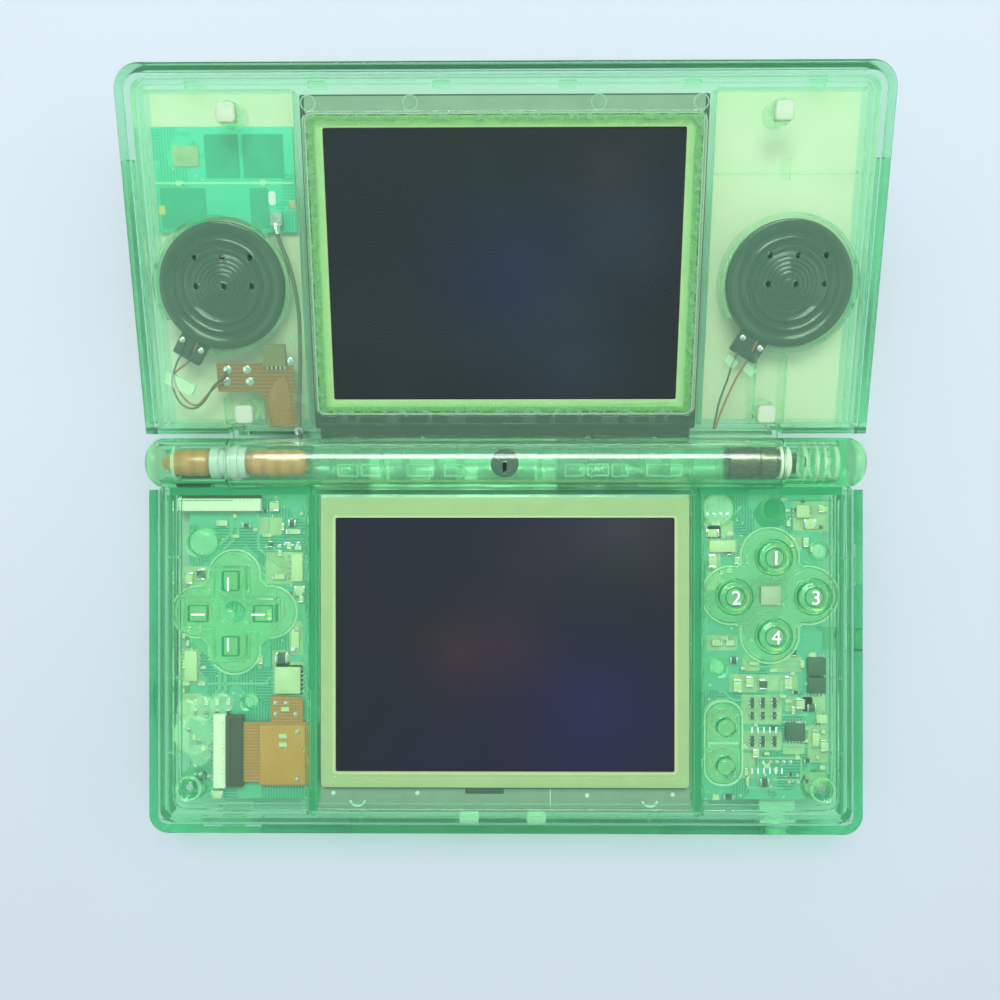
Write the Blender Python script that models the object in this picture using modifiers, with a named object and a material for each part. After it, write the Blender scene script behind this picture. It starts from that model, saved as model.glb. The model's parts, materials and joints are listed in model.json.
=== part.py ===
"""Clamshell handheld game console with two screens, in a clear green case, lying open on a table.

Run it with: blender --background --python part.py
Units are metres and +Z is up. X runs across the console and Y runs towards the hinge.
The origin is the middle of the base's underside. The lid is drawn closed, as offsets from the
hinge axis, and the empty on that axis then swings it open.
"""

import math

import bmesh
import bpy
from mathutils import Matrix, Vector

# Outside of the closed console
WIDTH = 0.1330
DEPTH = 0.0739
RIM_TOP = 0.0120
LID_HEIGHT = 0.0090
BASE_CORNER = 0.0036
LID_CORNER = 0.0046
SOFT_EDGE = 0.0022
RIM_EDGE = 0.0005
WALL = 0.0018
PLATE = 0.0012
INNER_EDGE = 0.0009

# Room left between touching pieces, and how far a cutter reaches past what it cuts
GAP = 0.0003
PAST = 0.0200

# Heights of the layers in the base, bottom and top
FLOOR = PLATE + GAP
BAY = (FLOOR, 0.0061)
BOARD = (0.0066, 0.0075)
SCREEN = (0.0077, 0.0096)
TOUCH = (0.0098, 0.0108)
PANEL = (0.0111, 0.0123)
MEMBRANE = (0.0078, 0.0093)
CONNECTOR = (0.0078, 0.0093)
BACK_WALL_TOP = 0.0082

# Hinge
AXIS_Y = 0.0322
AXIS_Z = 0.0124
BARREL_R = 0.0046
BARREL_BORE_R = 0.0034
BARREL_HALF = 0.0507
KNUCKLE = (0.0510, 0.0662)
KNUCKLE_BORE_R = 0.0032
GUTTER_R = 0.0050
GUTTER_WALL = 0.0010
OPEN_ANGLE = math.radians(166)

# Screens, both 3.1 inch across
ACTIVE = (0.0634, 0.0475)
WINDOW_MARGIN = 0.0005
LOWER_SCREEN_Y = -0.00185
UPPER_SCREEN_U = 0.0351

# Inner panels, which sit inside the rims
PANEL_HALF = WIDTH / 2 - WALL - GAP
PANEL_FRONT = -DEPTH / 2 + WALL + GAP
PANEL_BACK = AXIS_Y - GUTTER_R
PANEL_CORNER = 0.0026
SKIRT = 0.0011
SKIRT_BOTTOM = 0.0086
RIDGE_HALF = 0.0622
RIDGE_BOTTOM = 0.0103

# Controls
PAD_AT = (-0.0512, 0.0041)
PAD_LENGTH = 0.0178
PAD_ARM = 0.0066
PAD_TOP = 0.0134
PAD_FLANGE = (0.0099, 0.0104)
PAD_PIVOT_Z = 0.0098
PAD_CLEARANCE = 0.00035
PAD_LOBE_OFFSET = 0.0069
PAD_LOBE_R = 0.0048
FACE_AT = (0.04995, 0.0073)
FACE_OFFSET = 0.0073
FACE_R = 0.0029
FACE_TOP = 0.0135
FACE_LOBE_R = 0.0055
MENU_X = 0.0411
MENU_YS = (-0.0170, -0.0242)
MENU_R = 0.00175
MENU_TOP = 0.0129
BUTTON_FLANGE = (0.0102, 0.0109)
BUTTON_FLANGE_WIDTH = 0.0007

# Fasteners
SCREW_HEAD_R = 0.0020
SCREW_SHANK_R = 0.00075
SCREW_HOLE_R = 0.00095
SCREW_HEAD = (0.0003, 0.0011)
COVER_SCREW_HEAD = (0.0001, 0.00065)
SCREW_POST_R = 0.0030
HEAD_ROOM = 0.0002
FRONT_SCREW_TIP = 0.0094
BACK_SCREW_TIP = 0.0060
COVER_SCREW_TIP = 0.0032
FRONT_POST_TOP = 0.0070
BACK_POST_TOP = 0.0032
FRONT_SCREWS = {"front_left": (-0.0595, -0.0290), "front_right": (0.0595, -0.0290)}
BACK_SCREWS = {"back_left": (-0.0360, 0.0310), "back_right": (0.0180, 0.0310)}

# What the base holds
CARD_X = (-0.0260, 0.0100)
CARD_Y = (0.0025, 0.0345)
CARD_MOUTH_TOP = 0.0058
CARTRIDGE_HALF = 0.0299
CARTRIDGE_Y = -0.0130
BATTERY_X = (-0.0622, -0.0278)
BATTERY_Y = (-0.0100, 0.0262)
COVER_X = (-0.0615, -0.0285)
COVER_Y = (-0.0154, 0.0255)
COVER_SCREW = (-0.0450, -0.0128)
LEDGE = (0.0016, 0.0034)
STYLUS_AT = (-0.0015, 0.0038)
STYLUS_R = 0.0021
STYLUS_X = (-0.0140, 0.0660)
SHOULDER_PIN = (0.0478, 0.0332)
SHOULDER_PIN_R = 0.0006
SHOULDER_X = (0.0456, 0.0662)
SHOULDER_Y = (0.0296, 0.0368)
SHOULDER_Z = (0.0018, 0.0074)
SHOULDER_ROOM_Y = 0.0272
SLIDER_Z = (0.0045, 0.0066)
POWER_Y = 0.0120
POWER_KNOB = 0.0050
POWER_TRAVEL = 0.0020
VOLUME_X = -0.0520
VOLUME_KNOB = 0.0044
VOLUME_TRAVEL = 0.0030
HEADPHONE_AT = (0.0520, 0.0040)
POWER_JACK_X = 0.0300
POWER_JACK_Z = 0.00365

# Layers of the lid, as heights above the axis when it is closed
LID_RIM = 0.0001
LID_BACK = LID_RIM + LID_HEIGHT
BEZEL = (0.0016, 0.0028)
LENS = (0.00165, 0.00225)
LID_SCREEN = (0.0031, 0.0061)
SPEAKER = (0.0031, 0.0067)
ANTENNA = (0.0069, 0.0076)
LID_FREE_U = AXIS_Y + DEPTH / 2
LID_HINGE_U = 0.0053
NECK_CLEAR = 0.0049
LENS_U = (0.0087, 0.0612)
LENS_HALF = 0.0347
SPEAKERS = {"left": (-0.0513, 0.0320), "right": (0.0514, 0.0322)}
SPEAKER_R = 0.0114
SOUND_HOLE_PITCH = 0.0050
SOUND_HOLE_R = 0.0006
SCREW_PADS = {
    "top_left": (-0.0478, 0.0611),
    "top_right": (0.0478, 0.0611),
    "low_left": (-0.0481, 0.0089),
    "low_right": (0.0481, 0.0089),
}
SCREW_PAD_SIDE = 0.0035

# How finely round shapes are drawn
BARREL_SIDES = 48
ROUND_SIDES = 24
POST_SIDES = 16
SMALL_SIDES = 12

# Principled colour, roughness, metallic and alpha of each finish
FINISHES = {
    "clear_green": ((0.36, 0.82, 0.48), 0.12, 0.0, 0.40),
    "clear_button": ((0.55, 0.86, 0.62), 0.15, 0.0, 0.50),
    "clear_silicone": ((0.70, 0.88, 0.72), 0.45, 0.0, 0.60),
    "clear_lens": ((0.80, 0.92, 0.82), 0.05, 0.0, 0.20),
    "board_green": ((0.08, 0.45, 0.27), 0.45, 0.0, 1.0),
    "antenna_green": ((0.10, 0.62, 0.45), 0.40, 0.0, 1.0),
    "screen_black": ((0.02, 0.025, 0.03), 0.15, 0.0, 1.0),
    "touch_film": ((0.68, 0.76, 0.58), 0.25, 0.0, 1.0),
    "speaker_black": ((0.03, 0.04, 0.035), 0.50, 0.0, 1.0),
    "connector_cream": ((0.85, 0.84, 0.66), 0.50, 0.0, 1.0),
    "connector_black": ((0.03, 0.03, 0.03), 0.50, 0.0, 1.0),
    "flex_amber": ((0.62, 0.33, 0.06), 0.35, 0.0, 1.0),
    "steel": ((0.60, 0.61, 0.62), 0.30, 1.0, 1.0),
    "battery_grey": ((0.22, 0.23, 0.24), 0.55, 0.0, 1.0),
    "lead_black": ((0.03, 0.03, 0.03), 0.50, 0.0, 1.0),
    "pad_rubber": ((0.82, 0.84, 0.80), 0.70, 0.0, 1.0),
    "plastic_white": ((0.85, 0.86, 0.84), 0.40, 0.0, 1.0),
}


def clear_scene():
    for obj in list(bpy.data.objects):
        bpy.data.objects.remove(obj)


def new_collection(name):
    collection = bpy.data.collections.new(name)
    bpy.context.scene.collection.children.link(collection)
    return collection


def material_for(piece, finish):
    colour, roughness, metallic, alpha = FINISHES[finish]
    material = bpy.data.materials.new(f"{piece.name}_{finish}")
    material.use_nodes = True
    shader = material.node_tree.nodes["Principled BSDF"]
    shader.inputs["Base Color"].default_value = (*colour, 1.0)
    shader.inputs["Roughness"].default_value = roughness
    shader.inputs["Metallic"].default_value = metallic
    shader.inputs["Alpha"].default_value = alpha
    return material


def both(half):
    return (-half, half)


def span(middle, length):
    return (middle - length / 2, middle + length / 2)


def side_span(sign, ends):
    """Two distances from the middle, as ends in x on the left (-1) or the right (1)."""
    return tuple(sorted((sign * ends[0], sign * ends[1])))


def at_front(co):
    return co.y < 0


# Shapes


def link_tool(obj):
    """New shapes start as hidden helpers, and show() makes some of them pieces of the console."""
    TOOLS.objects.link(obj)
    obj.hide_render = True
    obj.display_type = "WIRE"
    return obj


def object_from(name, bm):
    mesh = bpy.data.meshes.new(name)
    bm.to_mesh(mesh)
    bm.free()
    return link_tool(bpy.data.objects.new(name, mesh))


def mesh_object(curve_object):
    """Turns a curve object into a mesh object whose caps are welded to its sides."""
    bpy.context.view_layer.update()
    graph = bpy.context.evaluated_depsgraph_get()
    mesh = bpy.data.meshes.new_from_object(curve_object.evaluated_get(graph))
    matrix, name = curve_object.matrix_world.copy(), curve_object.name
    bpy.data.objects.remove(curve_object)
    bm = bmesh.new()
    bm.from_mesh(mesh)
    bpy.data.meshes.remove(mesh)
    bmesh.ops.remove_doubles(bm, verts=bm.verts, dist=1e-6)
    bmesh.ops.recalc_face_normals(bm, faces=bm.faces)
    obj = object_from(name, bm)
    obj.matrix_world = matrix
    return obj


def upright_edges(bm):
    def is_upright(edge):
        a, b = edge.verts
        return (a.co.xy - b.co.xy).length < 1e-7

    return [edge for edge in bm.edges if is_upright(edge)]


def edges_at_height(bm, z):
    return [edge for edge in bm.edges if all(abs(vert.co.z - z) < 1e-7 for vert in edge.verts)]


def bevel(bm, edges, radius, segments):
    bmesh.ops.bevel(
        bm, geom=edges, offset=radius, segments=segments, profile=0.5, affect="EDGES", clamp_overlap=True
    )


def block(name, x, y, z, corner=0.0, corner_segments=5, corners_where=None, low_edge=0.0, high_edge=0.0,
          edge_segments=2):
    """A box between the given ends, with round upright corners and round lower and upper edges."""
    bm = bmesh.new()
    bmesh.ops.create_cube(bm, size=1.0)
    size = (x[1] - x[0], y[1] - y[0], z[1] - z[0])
    middle = ((x[0] + x[1]) / 2, (y[0] + y[1]) / 2, (z[0] + z[1]) / 2)
    bmesh.ops.scale(bm, vec=size, verts=bm.verts)
    bmesh.ops.translate(bm, vec=middle, verts=bm.verts)
    if corner:
        edges = [e for e in upright_edges(bm) if corners_where is None or corners_where(e.verts[0].co)]
        bevel(bm, edges, corner, corner_segments)
    if low_edge:
        bevel(bm, edges_at_height(bm, z[0]), low_edge, edge_segments)
    if high_edge:
        bevel(bm, edges_at_height(bm, z[1]), high_edge, edge_segments)
    return object_from(name, bm)


AXIS_TURN = {
    "X": Matrix.Rotation(math.pi / 2, 4, "Y"),
    "Y": Matrix.Rotation(-math.pi / 2, 4, "X"),
    "Z": Matrix.Identity(4),
}


def rod(name, at, radius, ends, axis="Z", sides=ROUND_SIDES, low_edge=0.0, high_edge=0.0, edge_segments=2):
    """A cylinder along an axis. at holds its two other coordinates, in X, Y, Z order."""
    bm = bmesh.new()
    half = (ends[1] - ends[0]) / 2
    bmesh.ops.create_cone(bm, cap_ends=True, segments=sides, radius1=radius, radius2=radius, depth=2 * half)
    if low_edge:
        bevel(bm, edges_at_height(bm, -half), low_edge, edge_segments)
    if high_edge:
        bevel(bm, edges_at_height(bm, half), high_edge, edge_segments)
    place = list(at)
    place.insert("XYZ".index(axis), ends[0] + half)
    bmesh.ops.transform(bm, matrix=Matrix.Translation(place) @ AXIS_TURN[axis], verts=bm.verts)
    return object_from(name, bm)


def turned(name, profile, at, steps=ROUND_SIDES):
    """A profile of (radius, z) points, listed down its outer side, turned round an upright axis."""
    bm = bmesh.new()
    points = [bm.verts.new((radius, 0.0, z)) for radius, z in profile]
    for upper, lower in zip(points, points[1:]):
        bm.edges.new((upper, lower))
    obj = object_from(name, bm)
    obj.location = (*at, 0.0) if len(at) == 2 else at
    screw = obj.modifiers.new("turn", "SCREW")
    screw.steps = steps
    screw.render_steps = steps
    screw.use_merge_vertices = True
    screw.merge_threshold = 1e-5
    return obj


def slab(name, outline, z):
    """A flat outline of (x, y) points, as a plate between two heights."""
    curve = bpy.data.curves.new(name, "CURVE")
    curve.dimensions = "2D"
    curve.fill_mode = "BOTH"
    curve.extrude = (z[1] - z[0]) / 2
    spline = curve.splines.new("POLY")
    spline.points.add(len(outline) - 1)
    for point, (px, py) in zip(spline.points, outline):
        point.co = (px, py, 0.0, 1.0)
    spline.use_cyclic_u = True
    obj = bpy.data.objects.new(name, curve)
    TOOLS.objects.link(obj)
    plate = mesh_object(obj)
    plate.data.transform(Matrix.Translation((0.0, 0.0, (z[0] + z[1]) / 2)))
    return plate


def slab_along_x(name, outline, x):
    """A (y, z) outline as a bar between two values of x."""
    bar = slab(name, outline, x)
    bar.data.transform(Matrix(((0, 0, 1, 0), (1, 0, 0, 0), (0, 1, 0, 0), (0, 0, 0, 1))))
    return bar


def wire(name, points, radius):
    """A round wire through the points."""
    curve = bpy.data.curves.new(name, "CURVE")
    curve.dimensions = "3D"
    curve.bevel_depth = radius
    curve.bevel_resolution = 1
    curve.use_fill_caps = True
    spline = curve.splines.new("POLY")
    spline.points.add(len(points) - 1)
    for point, place in zip(spline.points, points):
        point.co = (*place, 1.0)
    obj = bpy.data.objects.new(name, curve)
    TOOLS.objects.link(obj)
    return mesh_object(obj)


def smooth_route(points, steps=2):
    """Points along a Catmull-Rom curve that passes through the given ones."""
    fixed = [Vector(p) for p in points]
    ends = [2 * fixed[0] - fixed[1], *fixed, 2 * fixed[-1] - fixed[-2]]
    route = []
    for a, b, c, d in zip(ends, ends[1:], ends[2:], ends[3:]):
        for t in (k / steps for k in range(steps)):
            line = 2 * b + (c - a) * t
            bend = (2 * a - 5 * b + 4 * c - d) * t ** 2 + (3 * b - a - 3 * c + d) * t ** 3
            route.append((line + bend) / 2)
    return [*route, fixed[-1]]


def arc(centre, radius, start, end, steps):
    """Points on an arc. Angles are in degrees, from the first axis towards the second."""
    angles = [math.radians(start + (end - start) * k / steps) for k in range(steps + 1)]
    return [(centre[0] + radius * math.cos(a), centre[1] + radius * math.sin(a)) for a in angles]


def clover(centre, offset, radius, reach, steps=7):
    """The outline of a rubber mat with four round lobes, each turning by reach either side of its middle."""
    outline = []
    for heading in (0, 90, 180, 270):
        turn = math.radians(heading)
        lobe = (centre[0] + offset * math.cos(turn), centre[1] + offset * math.sin(turn))
        outline += arc(lobe, radius, heading - reach, heading + reach, steps)
    return outline


# Joining, cutting and finishing


def boolean(obj, other, operation):
    modifier = obj.modifiers.new(f"{operation.lower()}_{other.name}", "BOOLEAN")
    modifier.operation = operation
    modifier.object = other
    modifier.solver = "EXACT"


def cut(obj, *cutters):
    for cutter in cutters:
        boolean(obj, cutter, "DIFFERENCE")
    return obj


def join(obj, *others):
    for other in others:
        boolean(obj, other, "UNION")
    return obj


def helpers_of(obj):
    """Every object that the shape's modifiers use, and those that they use in turn."""
    direct = [modifier.object for modifier in obj.modifiers if modifier.type == "BOOLEAN"]
    return direct + [inner for helper in direct for inner in helpers_of(helper)]


def show(obj, finish, origin=None, parent=None):
    """Makes a shape a piece of the console: its collection, finish, origin and parent."""
    TOOLS.objects.unlink(obj)
    CONSOLE.objects.link(obj)
    obj.hide_render = False
    obj.display_type = "TEXTURED"
    obj.data.materials.append(material_for(obj, finish))
    obj.data.shade_smooth()
    obj.data.set_sharp_from_angle(angle=math.radians(35))
    if origin is not None:
        obj.data.transform(Matrix.Translation(-Vector(origin)))
        obj.location = origin
    if parent is not None:
        for piece in [obj, *helpers_of(obj)]:
            piece.parent = parent


# The base's outer case


def make_rear_case():
    side, end = WIDTH / 2, DEPTH / 2
    case = block("rear_case", both(side), both(end), (0.0, RIM_TOP), corner=BASE_CORNER, corner_segments=9,
                 low_edge=SOFT_EDGE, high_edge=RIM_EDGE, edge_segments=4)
    hollow = block("case_hollow", both(side - WALL), both(end - WALL), (PLATE, PAST),
                   corner=BASE_CORNER - WALL, corner_segments=8, low_edge=INNER_EDGE)
    cut(case, hollow, *back_openings(), *front_openings(), *side_openings(), battery_mouth())
    join(case, *battery_ledge())
    posts = [(name, at, FRONT_POST_TOP) for name, at in FRONT_SCREWS.items()]
    posts += [(name, at, BACK_POST_TOP) for name, at in BACK_SCREWS.items()]
    join(case, *(rod(f"{name}_post", at, SCREW_POST_R, (0.0008, top), sides=POST_SIDES)
                 for name, at, top in posts))
    for name, at, _ in posts:
        shank = rod(f"{name}_hole", at, SCREW_HOLE_R, (-PAST, PAST), sides=SMALL_SIDES)
        head = rod(f"{name}_recess", at, SCREW_HEAD_R + HEAD_ROOM, (-PAST, SCREW_HEAD[1] + 0.00015),
                   sides=POST_SIDES)
        cut(case, shank, head)
    cut(case, rod("cover_screw_hole", COVER_SCREW, SCREW_HOLE_R, (0.0010, PAST), sides=SMALL_SIDES))
    show(case, "clear_green")


def back_openings():
    beyond = (AXIS_Y, DEPTH / 2 + PAST)
    lip = 0.0006
    yield block("barrel_space", both(WIDTH), (PANEL_BACK, beyond[1]), (BACK_WALL_TOP, PAST))
    yield rod("knuckle_space", (AXIS_Y, AXIS_Z), BARREL_R + GAP, both(WIDTH), axis="X")
    for sign, name in ((-1, "left"), (1, "right")):
        reach = side_span(sign, (SHOULDER_X[0] - 0.0009, WIDTH))
        yield block(f"{name}_shoulder_gap", reach, (SHOULDER_ROOM_Y, beyond[1]), (FLOOR, PAST))
    yield block("card_mouth", (CARD_X[0] + lip, CARD_X[1] - lip), beyond, (PLATE + 0.00015, CARD_MOUTH_TOP))
    yield block("power_jack_mouth", span(POWER_JACK_X, 0.0094), beyond, (0.00155, 0.0058))


def front_openings():
    beyond = (-DEPTH / 2 - PAST, -DEPTH / 2 + 0.0040)
    yield block("cartridge_mouth", both(CARTRIDGE_HALF + GAP), beyond, (PLATE + 0.00015, BAY[1]))
    yield rod("headphone_mouth", HEADPHONE_AT, 0.0029, beyond, axis="Y")
    slot = span(VOLUME_X, VOLUME_KNOB + 2 * VOLUME_TRAVEL + 0.0008)
    yield block("volume_slot", slot, beyond, (SLIDER_Z[0] - 0.0002, SLIDER_Z[1] + GAP))


def side_openings():
    beyond = (WIDTH / 2 - 0.0060, WIDTH)
    slot = (POWER_Y - POWER_KNOB / 2 - 0.0004, POWER_Y + POWER_KNOB / 2 + POWER_TRAVEL + 0.0004)
    yield block("power_slot", beyond, slot, (SLIDER_Z[0] - 0.0004, SLIDER_Z[1] + GAP))
    yield rod("stylus_mouth", STYLUS_AT, STYLUS_R + GAP, beyond, axis="X")


def battery_mouth():
    x, y = ((ends[0] - GAP, ends[1] + GAP) for ends in (COVER_X, COVER_Y))
    return block("battery_mouth", x, y, (-PAST, PLATE + 0.0002))


def battery_ledge():
    """A shelf across the battery's front, which the cover's screw goes into, with a foot on the floor."""
    left, bay_side, right = 0.0010 - WIDTH / 2, -CARTRIDGE_HALF - 0.0006, COVER_X[1] + 0.0017
    front, bay_back, back = COVER_Y[0] - 0.0010, CARTRIDGE_Y + 0.0004, BATTERY_Y[0] - 0.0004
    outline = (
        (left, front), (bay_side, front), (bay_side, bay_back),
        (right, bay_back), (right, back), (left, back),
    )
    yield slab("cover_ledge", outline, LEDGE)
    inset = 0.0002
    foot_x, foot_y = (right - 0.0012, right - inset), (bay_back + inset, back - inset)
    yield block("ledge_foot", foot_x, foot_y, (PLATE - 0.0004, LEDGE[0] + 0.0004))


# The base's inner panel, which also carries the hinge knuckles


def make_front_panel():
    plate = block("front_panel", both(PANEL_HALF), (PANEL_FRONT, PANEL_BACK + GAP), PANEL,
                  corner=PANEL_CORNER, corner_segments=7, corners_where=at_front, high_edge=0.0004)
    join(plate, panel_skirt(), locating_ridge(), hinge_gutter(), *knuckle_parts(), *panel_posts())
    cut(plate, rod("barrel_room", (AXIS_Y, AXIS_Z), GUTTER_R, both(KNUCKLE[0]), axis="X", sides=BARREL_SIDES))
    cut(plate, *post_pilots(), *screen_holes(), *control_holes(), *knuckle_holes())
    show(plate, "clear_green")


def panel_rim(name, half, front, back, bottom, wall, corner):
    """A wall round three sides under the panel, open towards the hinge."""
    top = PANEL[0] + 0.0004
    rim = block(name, both(half), (front, back), (bottom, top), corner=corner, corners_where=at_front)
    room = block(f"{name}_room", both(half - wall), (front + wall, back + PAST), (bottom - PAST, PAST),
                 corner=max(corner - wall, 0.0012), corner_segments=4, corners_where=at_front)
    return cut(rim, room)


def panel_skirt():
    return panel_rim(
        "panel_skirt", PANEL_HALF, PANEL_FRONT, PANEL_BACK - 0.0002, SKIRT_BOTTOM, SKIRT, PANEL_CORNER
    )


def locating_ridge():
    return panel_rim(
        "locating_ridge", RIDGE_HALF, PANEL_FRONT + 0.0022, PANEL_BACK - 0.0004, RIDGE_BOTTOM, 0.00105, 0.0024
    )


def hinge_gutter():
    """The trough that the barrel turns in. It stops short of the shoulder buttons."""
    centre, outer = (AXIS_Y, AXIS_Z), GUTTER_R + GUTTER_WALL
    start, end, steps = 184, 295, 16
    outline = arc(centre, outer, start, end, steps) + arc(centre, GUTTER_R - 0.0008, end, start, steps)
    return slab_along_x("hinge_gutter", outline, both(SHOULDER_X[0] - 0.0004))


def knuckle_parts():
    rib = (0.0355, 0.0366)
    for sign, name in ((-1, "left"), (1, "right")):
        yield block(f"{name}_screen_rib", side_span(sign, rib), (PANEL_FRONT + 0.0005, PANEL_BACK),
                    (0.0080, PANEL[0] + 0.0004))
        yield block(f"{name}_knuckle_bridge", side_span(sign, (KNUCKLE[0], PANEL_HALF - 0.0005)),
                    (PANEL_BACK - 0.0020, AXIS_Y - 0.0022), (PANEL[0] - 0.0008, PANEL[1] - 0.0001))
        outer_end = {"low_edge" if sign < 0 else "high_edge": 0.0030}
        yield rod(f"{name}_knuckle", (AXIS_Y, AXIS_Z), BARREL_R, side_span(sign, KNUCKLE), axis="X",
                  sides=BARREL_SIDES, edge_segments=5, **outer_end)


def panel_posts():
    top = PANEL[0] + 0.0004
    pegs = (
        ("left", (-0.0574, 0.0173), 0.0027),
        ("low_left", (-0.0483, -0.0129), 0.0014),
        ("low_right", (0.0402, -0.0064), 0.0015),
        ("right", (0.0502, 0.0236), 0.0020),
    )
    for name, at, radius in pegs:
        yield rod(f"{name}_peg", at, radius, (0.0080, top), sides=POST_SIDES)
    for name, at in FRONT_SCREWS.items():
        yield rod(f"{name}_panel_post", at, 0.0024, (0.0073, top), sides=POST_SIDES)
    for name, at in BACK_SCREWS.items():
        yield rod(f"{name}_gutter_post", at, 0.0022, (0.0035, 0.0069), sides=POST_SIDES)


def post_pilots():
    for name, at in FRONT_SCREWS.items():
        yield rod(f"{name}_pilot", at, SCREW_HOLE_R, (0.0050, 0.0100), sides=SMALL_SIDES)
    for name, at in BACK_SCREWS.items():
        yield rod(f"{name}_pilot", at, SCREW_HOLE_R, (0.0020, 0.0064), sides=SMALL_SIDES)


def screen_holes():
    window = (ACTIVE[0] + 2 * WINDOW_MARGIN, ACTIVE[1] + 2 * WINDOW_MARGIN)
    yield block("screen_window", span(0.0, window[0]), span(LOWER_SCREEN_Y, window[1]), (TOUCH[0], PAST),
                corner=0.0008, corner_segments=2)
    yield block("screen_ribbon_gap", (-0.0400, -0.0330), (-0.0295, -0.0105), (0.0070, 0.0098))


def control_holes():
    depth = (BUTTON_FLANGE[0], PAST)
    long, narrow = PAD_LENGTH + 2 * PAD_CLEARANCE, PAD_ARM + 2 * PAD_CLEARANCE
    for name, (width, height) in (("across", (long, narrow)), ("along", (narrow, long))):
        yield block(f"pad_hole_{name}", span(PAD_AT[0], width), span(PAD_AT[1], height), depth,
                    corner=0.0008, corner_segments=2)
    for name, at in face_places().items():
        yield rod(f"{name}_hole", at, FACE_R + GAP, depth)
    for name, at in menu_places().items():
        yield rod(f"{name}_hole", at, MENU_R + GAP, depth, sides=POST_SIDES)


def knuckle_holes():
    axis = (AXIS_Y, AXIS_Z)
    mouth = KNUCKLE[0] - 0.0010
    yield rod("left_knuckle_bore", axis, KNUCKLE_BORE_R, (-0.0638, -mouth), axis="X")
    yield rod("right_knuckle_bore", axis, KNUCKLE_BORE_R, (mouth, 0.0610), axis="X")
    yield block("light_slot", (0.0544, 0.0588), span(AXIS_Y, 0.0018), (AXIS_Z, AXIS_Z + PAST))
    yield block("ribbon_slot", (-0.0624, -0.0550), (AXIS_Y - 0.0060, AXIS_Y - 0.0014), (0.0084, 0.0105))


# What the base holds


def make_main_board():
    board = block("main_board", both(0.0602), (-0.0316, 0.0272), BOARD)
    chips = (
        ("upper_driver", (0.0574, 0.0604), (-0.0076, -0.0044), 0.0010),
        ("lower_driver", (0.0574, 0.0604), (-0.0112, -0.0080), 0.0010),
        ("power_chip", (0.0531, 0.0568), (-0.0201, -0.0166), 0.0009),
        ("choke", (0.0392, 0.0412), (-0.0106, -0.0084), 0.0012),
        ("capacitor_row", (0.0462, 0.0520), (-0.0137, -0.0118), 0.0007),
        ("centre_chip", (0.0486, 0.0513), (0.0060, 0.0086), 0.0006),
        ("left_jumper", (-0.0406, -0.0386), (0.0106, 0.0146), 0.0008),
    )
    for name, x, y, height in chips:
        join(board, block(name, x, y, (BOARD[1] - 0.0003, BOARD[1] + height)))
    radio = block("radio_card", (0.0365, 0.0565), (0.0045, 0.0262), (0.0030, 0.0042))
    link = block("radio_link", (0.0420, 0.0500), (0.0120, 0.0200), (0.0038, BOARD[0] + 0.0003))
    can = block("radio_can", (0.0385, 0.0545), (0.0070, 0.0235), (0.0018, 0.0033))
    join(board, radio, link, can)
    for name, at in FRONT_SCREWS.items():
        cut(board, rod(f"{name}_notch", at, SCREW_POST_R + 0.0004, (0.0, PAST), sides=POST_SIDES))
    show(board, "board_green")


def make_lower_screen():
    frame = block("lower_screen", both(0.0350), (-0.0331, 0.0264), (SCREEN[0], SCREEN[1] - 0.0005))
    glass = block("lower_glass", both(0.0341), (-0.0282, 0.0254), (SCREEN[0] + 0.0005, SCREEN[1]))
    show(join(frame, glass), "screen_black")
    show(block("touch_panel", both(0.0345), (-0.0286, 0.0258), TOUCH), "touch_film")


def make_membranes():
    pad = slab("direction_membrane", clover(PAD_AT, PAD_LOBE_OFFSET, PAD_LOBE_R, 81), MEMBRANE)
    cut(pad, rod("pivot_hole", PAD_AT, 0.0021, (0.0, PAST), sides=POST_SIDES))
    show(pad, "clear_silicone")
    face = slab("button_membrane", clover(FACE_AT, FACE_OFFSET, FACE_LOBE_R, 102), MEMBRANE)
    cut(face, block("chip_window", span(FACE_AT[0], 0.0036), span(FACE_AT[1], 0.0036), (0.0, PAST)))
    show(face, "clear_silicone")
    menu = block("menu_membrane", (0.0372, 0.0451), (-0.0289, -0.0122), MEMBRANE, corner=0.0036,
                 high_edge=0.0003)
    show(menu, "clear_silicone")


def make_battery():
    cell = block("battery", BATTERY_X, BATTERY_Y, (0.0018, BAY[1]), corner=0.0010, corner_segments=2)
    show(cell, "battery_grey")
    cover = block("battery_cover", COVER_X, COVER_Y, (0.0, PLATE), corner=0.0010, corner_segments=3)
    shank = rod("cover_shank_hole", COVER_SCREW, SCREW_HOLE_R, both(PAST), sides=SMALL_SIDES)
    head = rod("cover_head_recess", COVER_SCREW, SCREW_HEAD_R + 0.0002, (-PAST, COVER_SCREW_HEAD[1] + 0.0002),
               sides=POST_SIDES)
    show(cut(cover, shank, head), "clear_green")


def make_screw(name, at, head, tip):
    """A flat head with a cross in it and a plain shank, turned as one profile."""
    edge = 0.0003
    profile = ((0.0, tip), (SCREW_SHANK_R, tip), (SCREW_SHANK_R, head[1]), (SCREW_HEAD_R, head[1]),
               (SCREW_HEAD_R, head[0] + edge), (SCREW_HEAD_R - edge, head[0]), (0.0, head[0]))
    screw = turned(name, profile, at, steps=POST_SIDES)
    long, narrow = 0.0022, 0.0006
    for part, (width, height) in (("across", (long, narrow)), ("along", (narrow, long))):
        slot = block(f"{name}_cross_{part}", span(at[0], width), span(at[1], height),
                     (-PAST, head[0] + 0.0003))
        cut(screw, slot)
    show(screw, "steel")


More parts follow.
